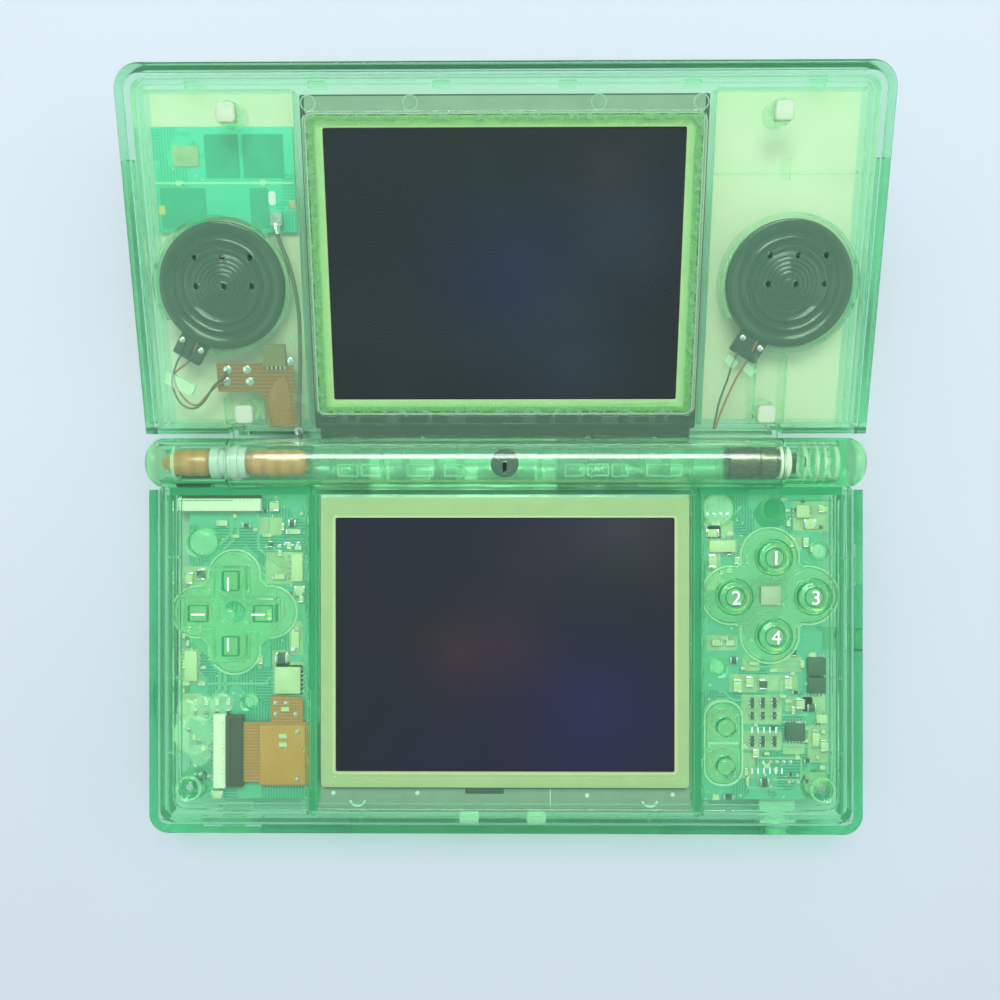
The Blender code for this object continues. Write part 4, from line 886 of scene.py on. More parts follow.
def make_small_parts():
    """Chip resistors and capacitors: a body between two bright ends, a millimetre square to start with."""
    body = block("body", both(0.36), both(0.5), (0.05, 0.62))
    round_edges(body, 0.04, 1)
    end = block("end", (0.30, 0.5), both(0.5), (0.0, 0.66))
    round_edges(end, 0.06, 1)
    dark, tan, ends = [], [], []
    for x, y, long, wide, turn, is_tan in SMALL_PARTS:
        size = Matrix.Diagonal((long, wide, 0.75 if wide < 1 else 0.95, 1.0))
        where = shift(x, y, BOARD_TOP, turn)
        (tan if is_tan else dark).append(copy_of(body, "part", where @ size))
        ends.append(copy_of(end, "part_end", where @ size))
        ends.append(copy_of(end, "part_end", where @ Matrix.Rotation(math.pi, 4, "Z") @ size))
    for piece in (body, end):
        bpy.data.objects.remove(piece)
    place(joined("dark_parts", dark), "base", CHIP)
    place(joined("tan_parts", tan), "base", CERAMIC)
    place(joined("part_ends", ends), "base", TIN)


# Wide tracks that show on the board, as corners in x and y
TRACKS = (
    ((-61.8, -9.8), (-46.0, -9.8), (-44.6, -8.4)), ((-57.0, -14.5), (-53.4, -10.9), (-53.4, -3.0)),
    ((-58.2, -14.5), (-54.4, -10.7), (-54.4, -3.0)), ((-59.6, 8.0), (-59.6, -2.0)),
    ((-58.6, 8.0), (-58.6, -2.0)),
    ((-45.0, 22.0), (-45.0, 17.0), (-42.0, 14.0)), ((-47.0, 22.5), (-47.0, 16.0), (-42.0, 11.8)),
    ((-51.0, 22.5), (-51.0, 18.5), (-54.0, 15.5)), ((-52.2, 22.5), (-52.2, 19.0), (-55.0, 16.2)),
    ((-43.0, -12.0), (-43.0, -14.5), (-40.0, -14.5)), ((-38.5, 5.5), (-38.5, -5.0)),
    ((38.4, 12.0), (38.4, 0.0)), ((45.0, 24.0), (41.0, 20.0)), ((44.2, -2.0), (47.5, -5.3), (56.5, -5.3)),
    ((44.2, -3.2), (47.2, -6.4), (56.5, -6.4)), ((52.2, -8.6), (52.2, -11.5), (54.8, -14.0)),
    ((45.2, -12.8), (43.2, -12.8), (41.6, -11.2)), ((45.6, -15.6), (42.0, -15.6)),
    ((52.4, -15.6), (57.6, -15.6)), ((52.4, -20.5), (53.0, -21.6), (57.6, -21.6)),
    ((57.8, -24.0), (57.8, -28.5)), ((46.2, -24.2), (46.2, -29.5), (53.0, -29.5)),
    ((59.5, 18.0), (59.5, 12.0)), ((60.4, 18.0), (60.4, 12.0)), ((-50.0, -24.0), (-57.5, -24.0)),
    ((-50.0, -26.0), (-56.0, -26.0)), ((-58.8, -24.5), (-60.0, -25.7)),
)


def make_tracks():
    lines = []
    for corners in TRACKS:
        route = corners if len(corners) == 2 else densify(corners)
        line = wire("track", [(*corner, 0.0) for corner in route], 0.22, resolution=1)
        line.data.transform(Matrix.Diagonal((1.0, 1.0, 0.25, 1.0)))
        line.data.transform(shift(z=BOARD_TOP))
        lines.append(line)
    outline = flat("silk", rounded((48.0, 56.4), (-28.0, -23.6), 0.3), (BOARD_TOP - 0.02, BOARD_TOP + 0.05),
                   holes=[rounded((48.25, 56.15), (-27.75, -23.85), 0.2)])
    place(joined("tracks", lines), "base", TRACK)
    place(outline, "base", PALE_LAND)


# Pale areas of bare laminate and tinned copper: ends in x and y
PALE_LANDS = (
    ((44.9, 52.6), (-17.3, -11.7)), ((44.9, 52.6), (-22.2, -18.6)), ((53.2, 58.4), (-14.9, -12.1)),
    ((57.5, 61.2), (-24.6, -17.5)), ((52.8, 56.9), (-23.0, -20.9)), ((38.3, 44.2), (-3.3, -0.4)),
    ((38.5, 41.0), (12.0, 20.4)), ((41.6, 44.2), (15.2, 17.8)), ((54.8, 61.4), (19.4, 25.0)),
    ((56.5, 60.8), (-14.9, -11.9)), ((42.6, 48.0), (-11.2, -7.8)), ((48.1, 55.6), (-11.0, -7.9)),
    ((-45.6, -38.4), (9.3, 15.4)), ((-44.2, -38.5), (-12.0, -6.2)), ((-62.3, -58.3), (-9.6, -3.1)),
    ((-41.2, -38.5), (-4.2, 2.2)), ((-61.4, -56.6), (8.8, 12.6)), ((-44.4, -41.0), (-6.2, -3.4)),
    ((45.2, 48.4), (-7.2, -4.0)), ((50.6, 56.4), (-7.4, -4.4)), ((38.0, 43.4), (18.0, 21.4)),
    ((53.2, 56.4), (15.6, 18.6)), ((38.2, 41.0), (8.2, 11.6)), ((57.0, 61.0), (-30.0, -26.4)),
    ((44.8, 47.4), (-27.6, -22.8)), ((-46.8, -42.4), (18.6, 22.0)), ((-61.6, -57.8), (-16.4, -11.6)),
    ((-43.6, -38.4), (-11.8, -5.6)),
)


def make_pale_lands():
    low, high = BOARD_TOP - 0.03, BOARD_TOP + 0.035
    lands = [block("land", x, y, (low, high), corner=0.35, corner_steps=3) for x, y in PALE_LANDS]
    place(joined("pale_lands", lands), "base", PALE_LAND)
    chip = block("centre_chip", (48.5, 52.3), (5.3, 9.0), (BOARD_TOP, 8.1), corner=0.2, edge=0.15)
    place(chip, "base", BEIGE)
    drop = ((1.0, 0.0), (0.92, 0.5), (0.7, 0.85), (0.35, 1.0))
    blobs = []
    for x, y, radius, height in ((-59.3, -19.4, 4.0, 1.0), (-57.6, -14.6, 2.6, 0.7), (-54.0, -13.6, 2.2, 0.6),
                                 (-60.6, -14.6, 2.0, 0.7), (-58.2, -23.3, 2.2, 0.6)):
        profile = [(radius * out, BOARD_TOP + height * up) for out, up in drop]
        blobs.append(turned("blob", (x, y), profile, sides=32))
    place(joined("glue_blobs", blobs), "base", GLUE_BLOB)


def densify(corners, apart=0.6):
    """Keeps a smooth curve straight between its corners by adding points near them."""
    points = [corners[0]]
    for a, b in zip(corners, corners[1:]):
        a, b = Vector(a), Vector(b)
        way = (b - a).normalized()
        if len(points) > 1:
            points.append(tuple(a + way * min(apart, (b - a).length * 0.4)))
        points.append(tuple(b - way * min(apart, (b - a).length * 0.4)))
    points.append(tuple(corners[-1]))
    return points


# Test points: middle in x and y
TEST_POINTS = (
    [(-56.3, -22.2), (-56.3, -23.8), (-59.0, -25.5), (-52.0, 2.0)]
    + [(-59.5 + 1.5 * k, -27.5 + 0.5 * (k % 2)) for k in range(3)]
    + [(49.0 + 1.3 * k, -24.5) for k in range(5)]
    + [(53.9, -28.4), (55.6, -28.4), (44.6, 0.6), (46.0, 13.0), (58.5, 9.5)]
    + [(38.6 + 1.2 * k, 22.5) for k in range(4)]
    + [(-43.0 + 1.2 * k, 16.5 + 0.4 * (k % 2)) for k in range(4)]
)


def make_test_points():
    pads = solder_pads("test_points", [(x, y, BOARD_TOP) for x, y in TEST_POINTS], 0.45)
    place(pads, "base", TIN)
    random.seed(4)
    places = []
    for side, count in ((-1, 70), (1, 140)):
        while len(places) < count:
            x, y = side * random.uniform(38.5, 59.5), random.uniform(-27.5, 25.5)
            if math.hypot(abs(x) - 50.5, y - 5.5) > 4:
                places.append((x, y, BOARD_TOP - 0.03))
    place(solder_pads("plated_holes", places, 0.17, 0.05, 6), "base", GOLD)


def make_switch_contacts():
    """The contact discs under the rubber mats, and the small switches under the shoulder buttons."""
    discs, hoops = [], []
    for at in (*four_round((50.0, 7.3), FACE_REACH), *four_round(PAD_AT, PAD_REACH), *MENU_SPOTS):
        discs.append(rod("contact", at, 1.7, (BOARD_TOP - 0.05, BOARD_TOP + 0.06), sides=24))
        hoop = rod("contact_ring", at, 2.5, (BOARD_TOP - 0.05, BOARD_TOP + 0.05))
        hoops.append(cut(hoop, rod("hole", at, 2.1, (0, 20))))
    place(joined("contact_discs", discs), "base", CARBON)
    place(joined("contact_rings", hoops), "base", GOLD)
    for side, name in SIDES:
        switch = block(f"{name}_key_switch", span(side * 54.0, 4.2), (26.0, 27.9), (4.7, 6.6),
                       corner=0.3, edge=0.2)
        place(switch, "base", BLACK)


def make_connectors():
    """Cream housings with their rows of contacts and the dark bars that lock the ribbons in."""
    body = block("ribbon_housing", (-62.0, -46.2), (23.2, 25.6), (7.8, 9.1), corner=0.2, edge=0.15)
    slots = [block("slot", span(-60.6 + 0.75 * k, 0.2), (24.9, 25.4), (8.9, 9.3)) for k in range(18)]
    place(cut(body, *slots), "base", CREAM, ("ribbon_connector",))
    latch = block("ribbon_lock", (-61.8, -46.4), (25.7, 28.4), (7.9, 8.9), corner=0.2, edge=0.25)
    place(latch, "base", LATCH)
    teeth = [block("tooth", span(-60.6 + 0.75 * k, 0.3), (22.9, 23.3), (7.5, 7.75)) for k in range(18)]
    place(joined("ribbon_contacts", teeth), "base", CERAMIC)
    body = block("screen_housing", (-55.2, -52.9), (-29.3, -15.3), (7.8, 9.2), corner=0.2, edge=0.15)
    slots = [block("slot", (-53.5, -53.0), span(-28.1 + 0.8 * k, 0.3), (8.95, 9.4)) for k in range(15)]
    place(cut(body, *slots), "base", CREAM, ("screen_connector",))
    latch = block("screen_lock", (-52.8, -49.6), (-29.1, -15.5), (7.9, 9.15), corner=0.25, edge=0.3)
    groove = block("groove", (-52.0, -51.2), (-28.5, -16.1), (8.95, 10))
    place(cut(latch, groove, block("mouth", (-52.5, -40.0), (-28.4, -16.6), (8.3, 8.75))), "base", LATCH)
    teeth = [block("tooth", (-56.0, -55.1), span(-28.1 + 0.8 * k, 0.32), (7.5, 7.75)) for k in range(15)]
    place(joined("screen_contacts", teeth), "base", TIN)


def make_lower_flex():
    outline = [(-52.0, -28.2), (-46.2, -28.2), (-46.2, -28.9), (-37.6, -28.9), (-37.6, -28.2), (-35.4, -28.2),
               (-35.4, -16.8), (-38.3, -16.8), (-38.3, -12.4), (-41.0, -11.9), (-44.4, -11.9), (-44.4, -16.8),
               (-52.0, -16.8)]
    flex = flat("screen_flex", outline, (8.4, 8.62))
    place(flex, "base", AMBER, ("screen_ribbon",))
    patch = block("flex_stiffener", (-46.4, -37.8), (-28.6, -17.4), (8.62, 8.85), corner=0.3, edge=0.05)
    place(patch, "base", AMBER_UP)
    dots = solder_pads("flex_solder", [(-43.4, -13.2, 8.62), (-41.4, -13.2, 8.62), (-43.4, -15.3, 8.62),
                                       (-39.6, -15.3, 8.62), (-39.2, -18.6, 8.85), (-39.2, -27.6, 8.85)], 0.5)
    place(dots, "base", TIN)
    parts = [block("part", span(x, 1.5), span(y, 0.8), (8.6, 9.1), corner=0.1) for x, y in
             ((-41.6, -14.3), (-42.0, -19.4), (-42.0, -21.0))]
    place(joined("flex_parts", parts), "base", CERAMIC)


# The base: controls


def clover(centre, offset, radius, reach, steps=12):
    """The outline of a mat with four round lobes, each turned by reach either side of its middle."""
    outline = []
    for heading in (0, 90, 180, 270):
        turn = math.radians(heading)
        lobe = (centre[0] + offset * math.cos(turn), centre[1] + offset * math.sin(turn))
        outline += arc(lobe, radius, heading - reach, heading + reach, steps)
    return outline


def ring(name, at, outer, inner, ends, edge=0.12, sides=48):
    """A hoop, with its upper rims rounded by less than half its wall."""

    def on_top(rim):
        return all(abs(v.co.z - MM * ends[1]) < SAME for v in rim.verts)

    piece = rod(name, at, outer, ends, sides=sides)
    cut(piece, rod("bore", at, inner, (ends[0] - 5, ends[1] + 5), sides=sides))
    return round_edges(piece, min(edge, (outer - inner) / 2 - 0.01), 2, on_top)


def line_between(name, outlines, z):
    """A narrow raised line between an outer and an inner outline."""
    return flat(name, outlines[0], z, holes=[outlines[1]])


SIDES = ((-1, "left"), (1, "right"))
FOUR_WAYS = ((0, 1), (-1, 0), (1, 0), (0, -1))
FACE_AT, FACE_REACH = (49.95, 7.3), 7.3
FACE_NAMES = ("button_upper", "button_left", "button_right", "button_lower")
PAD_AT, PAD_REACH = (-51.2, 4.1), 6.9
MENU_SPOTS = ((41.1, -17.0), (41.1, -24.2))
MAT = (7.8, 8.5)
CAP_TOP = 13.5


def domes(spots, outer, inner, radii):
    """A rubber dome at each spot, with a low wall round it."""
    pieces = []
    for at in spots:
        pieces.append(ring("wall", at, outer, inner, (8.3, 9.25)))
        pieces.append(turned("dome", at, list(zip(radii, (8.3, 8.9, 9.3, 9.3))), sides=32))
    return pieces


def rim_lines(name, face, pad, menu, tops):
    """A line along the rim of each rubber mat, between an outer and an inner outline."""
    outlines = (
        [clover(FACE_AT, FACE_REACH, radius, 102, 20) for radius in face],
        [clover(PAD_AT, PAD_REACH, radius, 98, 18) for radius in pad],
        [rounded((37.5 + d, 44.9 - d), (-28.6 + d, -12.5 - d), 3.3 - d, 8) for d in menu],
    )
    return [line_between(name, pair, ends) for pair, ends in zip(outlines, zip((8.5, 8.5, 8.9), tops))]


def make_membranes():
    """Clear rubber mats: a thin sheet with a lip round its rim, and a wall round each dome."""
    mat = flat("face_mat", clover(FACE_AT, FACE_REACH, 5.6, 102, 20), MAT, edge=0.25,
               holes=[rounded(span(FACE_AT[0], 3.6), span(FACE_AT[1], 3.6), 0.4, 2)])
    weld(mat, *domes(four_round(FACE_AT, FACE_REACH), 4.7, 4.25, (3.1, 2.9, 2.3, 1.6)))
    place(mat, "base", SILICONE, ("button_membrane",))
    mat = flat("pad_mat", clover(PAD_AT, PAD_REACH, 5.0, 98, 18), MAT, edge=0.25,
               holes=[arc(PAD_AT, 2.1, 0, 350, 23)])
    weld(mat, *domes(four_round(PAD_AT, PAD_REACH), 4.3, 3.85, (2.5, 2.3, 1.8, 1.2)))
    place(mat, "base", SILICONE, ("direction_membrane",))
    mat = flat("menu_mat", rounded((37.3, 45.1), (-28.8, -12.3), 3.6, 8), MAT, edge=0.25)
    lip = flat("lip", rounded((37.8, 44.6), (-28.3, -12.8), 3.0, 8), (8.4, 8.9), edge=0.1,
               holes=[rounded((38.2, 44.2), (-27.9, -13.2), 2.6, 8)])
    weld(mat, lip, *domes(MENU_SPOTS, 3.1, 2.7, (1.9, 1.8, 1.3, 0.9)))
    place(mat, "base", SILICONE, ("menu_membrane",))
    bright = rim_lines("rim", (5.62, 5.36), (5.02, 4.76), (0.0, 0.28), (9.1, 9.1, 9.2))
    # The darker lines just inside each rim are painted shadow lines.
    dark = rim_lines("line", (5.30, 5.14), (4.70, 4.54), (0.36, 0.54), (8.7, 8.7, 9.0))
    bright.append(block("menu_bar", (38.4, 44.0), (-20.75, -20.35), (8.9, 9.1)))
    place(joined("mat_rims", bright), "base", RIM_LINE)
    place(joined("mat_shadow_lines", dark), "base", DEEP_SHELL)


def make_round_buttons():
    """Clear caps. Each is modelled once and copied, with a hollow under it that rings its rubber dome."""
    profile = ((3.6, 10.2), (3.6, 10.85), (2.9, 10.9), (2.9, 12.3), (2.82, 12.75), (2.62, 13.1), (2.3, 13.35),
               (1.9, 13.46), (0.6, CAP_TOP))
    first = turned("cap", (0, 0), profile, sides=56)
    cut(first, turned("hollow", (0, 0), ((1.75, 9.0), (1.75, 12.1), (1.5, 12.35)), sides=40))
    spots = four_round(FACE_AT, FACE_REACH)
    for number, (at, node) in enumerate(zip(spots, FACE_NAMES), 1):
        place(copy_of(first, f"{node}_cap", shift(*at)), node, BUTTON, (node,))
        # The two dark green rings in each cap are painted shade: the dark outline of the gap round the cap and of
        # the edge of its top.
        rings = [ring("gap_shade_ring", at, 2.82, 2.5, (10.95, 12.2), 0.05),
                 ring("lip", at, 1.95, 1.72, (12.9, 13.3), 0.05)]
        place(joined(f"{node}_rings", rings), node, EMERALD)
        digit = number_mesh(f"{node}_number", str(number), 2.7, (*at, CAP_TOP - 0.02))
        place(digit, node, INK)
    # A darker ring round each opening: partly the opening's wall, partly painted shade of the gap round the cap.
    sleeves = [ring("opening_wall", at, 3.5, 3.24, (11.1, 12.2), 0.05) for at in spots]
    place(joined("opening_walls_and_shade", sleeves), "base", DEEP_SHELL)
    bpy.data.objects.remove(first)
    profile = ((2.45, 10.2), (2.45, 10.85), (1.75, 10.9), (1.75, 12.2), (1.65, 12.55), (1.4, 12.8),
               (1.0, 12.9))
    # The dark green ring in each small cap is painted shade round its edge.
    for node, at in zip(("start_button", "select_button"), MENU_SPOTS):
        place(turned(f"{node}_cap", at, profile, sides=40), node, BUTTON, (node,))
        place(ring(f"{node}_ring", at, 1.68, 1.42, (10.95, 12.1), 0.05), node, EMERALD)


def number_mesh(name, text, height, at):
    """A plain number, printed as a thin layer of ink."""
    pick()
    bpy.ops.object.text_add(location=(0, 0, 0))
    piece = named(name)
    piece.data.body = text
    piece.data.size = height * MM * 1.35
    piece.data.align_x = "CENTER"
    piece.data.align_y = "CENTER"
    piece.data.extrude = 0.03 * MM
    piece.data.offset = 0.02 * MM
    bpy.ops.object.convert(target="MESH")
    piece = bpy.context.object
    middle = sum((Vector(corner) for corner in piece.bound_box), Vector()) / 8
    piece.data.transform(Matrix.Translation(Vector([MM * p for p in at]) - middle))
    return heal(piece)


def cross(name, long, wide, z):
    """The two bars of the pad's cross."""
    x, y = PAD_AT
    return [block(name, span(x, long), span(y, wide), z), block(name, span(x, wide), span(y, long), z)]


def make_direction_pad():
    pad = soften(copy_node("direction_pad", "pad_cross"), 0.1)
    place(pad, "pad", BUTTON, ("direction_pad",))
    nub = turned("pad_nub", PAD_AT, ((1.1, 12.85), (1.0, 13.15), (0.75, 13.3), (0.3, 13.38)), sides=32)
    place(nub, "pad", BUTTON)
    ticks, ribs = [], []
    for (a, _), (x, y) in zip(FOUR_WAYS, four_round(PAD_AT, 5.6)):
        wide, deep = (2.6, 0.34) if a else (0.34, 2.6)
        ticks.append(block("tick", span(x, wide), span(y, deep), (13.38, 13.44), corner=0.15, corner_steps=2))
    place(joined("pad_ticks", ticks), "pad", INK)
    for (a, _), (x, y) in zip(FOUR_WAYS, four_round(PAD_AT, 6.1)):
        wide, deep = (3.8, 3.2) if a else (3.2, 3.8)
        ribs.append(flat("rib", rounded(span(x, wide), span(y, deep), 0.3, 2), (10.5, 11.6),
                         holes=[rounded(span(x, wide - 0.44), span(y, deep - 0.44), 0.2, 2)]))
    outline = cut(weld(*cross("arm", 17.0, 5.8, (11.0, 12.9))), *cross("inner", 16.6, 5.4, (9.0, 15.0)))
    place(outline, "pad", LINER)
    place(joined("pad_ribs", ribs), "pad", EMERALD)
    post = turned("pad_post", PAD_AT, ((1.5, 7.8), (1.5, 9.1), (1.2, 9.5), (0.7, 9.68)), sides=32)
    place(post, "pad_pivot", BUTTON, ("direction_pivot",))


def make_panel_print():
    """Plain strokes of ink beside the two small buttons."""
    strokes = []
    for y, count in ((-17.3, 5), (-24.9, 6)):
        for k in range(count):
            x = span(45.8 + 1.1 * k, 0.3)
            strokes.append(block("stroke", x, span(y, 1.1), (12.28, 12.34), corner=0.1, corner_steps=2))
    place(joined("panel_strokes", strokes), "base", FAINT_INK)


# The base: screen


def make_lower_screen():
    tray = block("lower_tray", both(35.0), (-33.1, 26.4), (7.7, 8.9), corner=0.5, edge=0.15)
    place(tray, "base", TRAY, ("lower_screen",))
    glass = block("lower_glass", both(34.0), (-28.2, 25.4), (8.9, 9.6), edge=0.1)
    place(glass, "base", LOWER_DARK)
    band = block("lower_band", both(34.9), (-33.0, -28.5), (8.9, 9.2), corner=0.3, edge=0.08)
    place(band, "base", GREY_BAND)
    marks = [rod("dot", (x, y), 0.42, (9.15, 9.28), sides=16) for x, y in
             ((-32.4, -30.0), (-16.5, -30.0), (15.5, -30.4), (31.6, -30.2))]
    marks.append(block("line", (8.5, 8.66), (-32.4, -29.0), (9.15, 9.28)))
    for x in (-27.8, 27.3):
        marks.append(flat("arc", arc((x, -30.9), 1.7, 200, 340, 12) + arc((x, -30.9), 1.35, 340, 200, 12),
                          (9.15, 9.28)))
    place(joined("band_marks", marks), "base", FAINT_INK)
    # The dark block on the band is painted shade; the black line is the gap along the glass.
    bars = [block("bar", (-7.5, -0.2), (-30.1, -29.0), (9.15, 9.4), corner=0.1, edge=0.08),
            block("gap_line", both(33.9), (-28.95, -28.7), (9.15, 9.9))]
    place(joined("band_shade_and_gap", bars), "base", BLACK)
    clips = [block("clip", span(x, 3.6), (-34.9, -33.3), (9.6, 10.6), corner=0.4) for x in (-6.7, 5.9)]
    place(joined("front_clips", clips), "base", RIM_LINE)
    border = flat("touch_border", rounded(both(34.5), (-28.6, 25.8), 0.8), (9.8, 10.62), edge=0.1,
                  holes=[rounded(both(31.75), (-25.65, 21.95), 0.3, 2)])
    place(border, "base", FRAME_WHITE, ("touch_panel",))
    step = flat("touch_step", rounded(both(32.35), (-26.2, 22.5), 0.5, 3), (10.6, 10.75),
                holes=[rounded(both(31.8), (-25.7, 22.0), 0.3, 2)])
    place(step, "base", STEP_PALE)
    glass = block("touch_glass", both(31.7), (-25.6, 21.9), (9.9, 10.45))
    place(glass, "base", LOWER_DARK)


# The base: the panel's own ribs, the sleeves and rolls in the hinge


# The panel's pegs on the board: middle in x and y, and radius
PEGS = ((-57.4, 17.3, 2.4), (-48.3, -12.9, 1.1), (40.2, -6.4, 1.2), (40.4, 23.6, 2.9), (59.4, 15.6, 1.3))


def make_bay_ribs():
    """Combs either side of the screen, and the pegs that hold the board."""
    for side, name in SIDES:
        comb = block(f"{name}_comb", on_side(side, 36.65, 37.15), (-33.6, 26.4), (8.2, 11.0))
        gaps = [block("gap", on_side(side, 36.0, 38.0), span(y, 1.6), (7.0, 9.4 + 0.6 * (k % 2)))
                for k, y in enumerate((-29.5, -24.0, -18.0, -13.0, -7.5, -1.0, 5.0, 10.5, 16.0, 21.5))]
        place(soften(cut(comb, *gaps), 0.08), "base", SHELL)
        feet = [block("foot", on_side(side, 37.1, 37.9), span(y, 0.7), (9.7, 11.0))
                for y in (-31.0, -21.5, -10.5, -4.5, 2.5, 7.5, 13.5, 19.0, 24.0)]
        place(joined(f"{name}_comb_feet", feet), "base", SHELL)
    caps = [turned("cap", (x, y), ((r, 7.52), (r, 7.9), (0.85 * r, 8.2), (0.5 * r, 8.35)), sides=40)
            for x, y, r in PEGS]
    caps += [ring("post_ring", (x, -29.0), 2.3, 2.0, (10.0, 10.4), 0.05) for x in both(59.5)]
    place(joined("peg_caps", caps), "base", RIM_LINE)
    socket = turned("dark_socket", (50.4, 22.6), ((2.9, 7.52), (2.9, 7.8), (2.2, 7.9)), sides=40)
    place(socket, "base", EMERALD)
    rings = [ring("wall", (x, y), r + 0.6, r + 0.3, (7.52, 8.3), 0.05) for x, y, r in PEGS]
    place(joined("peg_walls", rings), "base", DEEP_SHELL)
    # Dark green walls at the back and sides of each bay: partly the panel's walls, partly painted shade, the
    # barrel's shadow along the back.
    walls = [block("wall", on_side(side, *x), y, z) for side in (-1, 1) for x, y, z in (
        ((36.4, 62.8), (26.2, 28.6), (9.6, 10.9)), ((35.3, 36.5), (-33.2, 26.2), (8.9, 9.7)),
        ((62.9, 63.6), (-34.0, 26.2), (7.2, 9.8)))]
    place(joined("panel_walls_and_shade", walls), "base", EMERALD)


def lines_under_panel():
    """Low ribs that stiffen the panel near its rim and behind the control openings."""
    ribs = []
    for side in (-1, 1):
        ribs.append(block("rib", on_side(side, 60.6, 61.1), (-30.0, 26.0), (10.3, 11.0)))
        ribs += [block("rib", on_side(side, 60.7, 63.0), span(y, 0.5), (10.3, 11.0))
                 for y in (-22.0, -8.0, 14.5)]
    ribs.append(block("rib", both(35.0), (-34.0, -33.5), (10.2, 11.0)))
    ribs += [block("rib", span(x, 0.5), (-35.2, -33.6), (10.2, 11.0)) for x in (-27.0, -9.0, 9.0, 27.0)]
    place(soften(joined("panel_ribs", ribs), 0.06), "base", SHELL)


def make_hinge_rolls():
    """The lid's ribbon, wound into two rolls on either side of the sleeve, with its tail to the board."""
    roll = hinge_turned("ribbon_rolls", (
        (0.7, -63.4), (1.7, -62.0), (2.3, -60.6), (2.45, -58.6), (2.45, -55.4), (2.2, -54.6), (1.7, -54.2),
        (1.7, -48.4), (1.9, -47.4), (2.3, -46.6), (2.5, -44.0), (2.5, -38.8), (2.3, -37.4), (1.6, -36.6)))
    roll.data.transform(Matrix.Translation(AXIS))
    place(roll, "base", WOUND, ("hinge_ribbon_roll",))
    tail = [block("tail", (-62.0, -55.4), y, z) for y, z in (
        ((29.8, 31.2), (10.9, 11.1)), ((29.8, 30.1), (9.2, 11.1)), ((26.6, 30.1), (9.2, 9.4)))]
    place(joined("taped_tail", tail), "base", TAPE)


def make_knuckle_rings():
    """The moulded steps inside the two outer knuckles."""
    rings = []
    for x, wide in ((54.8, 0.7), (57.0, 0.5), (58.4, 0.5), (60.5, 0.7), (-60.8, 0.5)):
        hoop = rod("hoop", (0, 0), 3.18, span(x, wide), "X", sides=48)
        rings.append(cut(hoop, rod("bore", (0, 0), 2.75, span(x, 9.0), "X", sides=48)))
    rings += [rod("core", (0, 0), 3.4, on_side(side, 63.6, 65.4), "X", sides=48, edge=0.6)
              for side in (-1, 1)]
    steps = joined("knuckle_steps", rings)
    steps.data.transform(Matrix.Translation(AXIS))
    place(steps, "base", RIM_LINE)


def make_light_pipe():
    pipe = soften(copy_node("power_light_pipe", "light_pipe"), 0.1)
    place(pipe, "base", LENS, ("power_light_pipe",))


# The lid: screen


def make_upper_screen():
    tray = lid_block("upper_tray", both(35.5), (5.9, 64.3), (3.9, 6.1), corner=0.5, edge=0.2)
    place_on_lid(tray, TRAY, ("upper_screen",))
    tape = lid_flat("upper_tape", rounded(both(35.5), (5.9, 64.3), 0.4, 3), (3.5, 3.9), edge=0.05,
                    holes=[rounded(both(34.35), (9.15, 60.9), 0.4, 3)])
    place_on_lid(tape, TAPE)
    band = lid_block("upper_band", both(34.7), (61.3, 64.0), (3.3, 3.5), corner=0.3)
    place_on_lid(band, GREY_BAND)
    pegs = [ring("peg_ring", (x, -62.9), 1.35, 1.15, (3.1, 3.35), 0.03) for x in (-34.0, -16.3, 16.3, 34.0)]
    place_on_lid(joined("band_pegs", pegs), RIM_LINE)
    border = lid_flat("upper_border", rounded(both(34.3), (9.2, 60.8), 0.5, 3), (3.1, 3.9), edge=0.1,
                      holes=[rounded(both(31.7), (11.35, 58.85), 0.3, 2)])
    place_on_lid(border, UPPER_FRAME)
    glass = lid_block("upper_glass", both(31.8), (11.25, 58.95), (3.35, 3.9))
    place_on_lid(glass, UPPER_DARK)
    # The dark strip and tape below the window: partly the screen's flex and tape, partly painted shade from the
    # barrel.
    strip = lid_block("lower_strip", both(34.4), (6.2, 8.9), (3.35, 3.5), corner=0.3)
    place_on_lid(strip, TAPE)
    hem = lid_block("hinge_tape_and_shade", both(34.6), (3.7, 6.0), (3.6, 3.75), corner=0.2)
    place_on_lid(hem, TAPE)
    line = [lid_block("hem_line", both(33.4), (3.45, 3.75), (3.35, 3.55), corner=0.1)]
    line += [lid_block("hem_tick", span(x, 0.5), (3.2, 4.2), (3.35, 3.55))
             for x in (-28.0, -15.4, 15.4, 28.0)]
    place_on_lid(joined("hem_line", line), MILK)
    chips = [lid_block("strip_part", span(x, wide), span(7.5, 1.3), (3.1, 3.4), corner=0.1) for x, wide in
             ((-30, 1.4), (-27.5, 0.8), (-21, 2.2), (-14, 0.8), (-9, 3.0), (4.5, 2.6), (9, 0.8), (14, 0.8),
              (19.5, 3.0), (23.5, 1.2), (27.5, 1.2), (30, 0.8))]
    place_on_lid(joined("strip_parts", chips), BLACK)
    # A pale line round the window is a painted highlight on the lens's edge.
    outer, inner = (rounded(both(34.65 - d), (8.75 + d, 61.15 - d), 1.3 - d, 5) for d in (0.0, 0.22))
    place_on_lid(lid_flat("lens_edge_highlight", outer, (2.27, 2.36), holes=[inner]), RIM_LINE)
    glue = lid_flat("window_glue", rounded(both(34.5), (8.95, 60.95), 1.2, 5), (2.27, 2.34),
                    holes=[rounded(both(33.1), (10.1, 59.9), 0.5, 3)])
    place_on_lid(glue, GLUE)
    lens = lid_block("window_pane", both(34.7), (8.7, 61.2), (1.65, 2.25), corner=1.3)
    place_on_lid(round_edges(lens, 0.06, 1, top_edge), LENS, ("screen_lens",))


# The lid: speakers, aerial, leads


SPEAKERS = (("left", -51.3, 32.0), ("right", 51.4, 32.2))


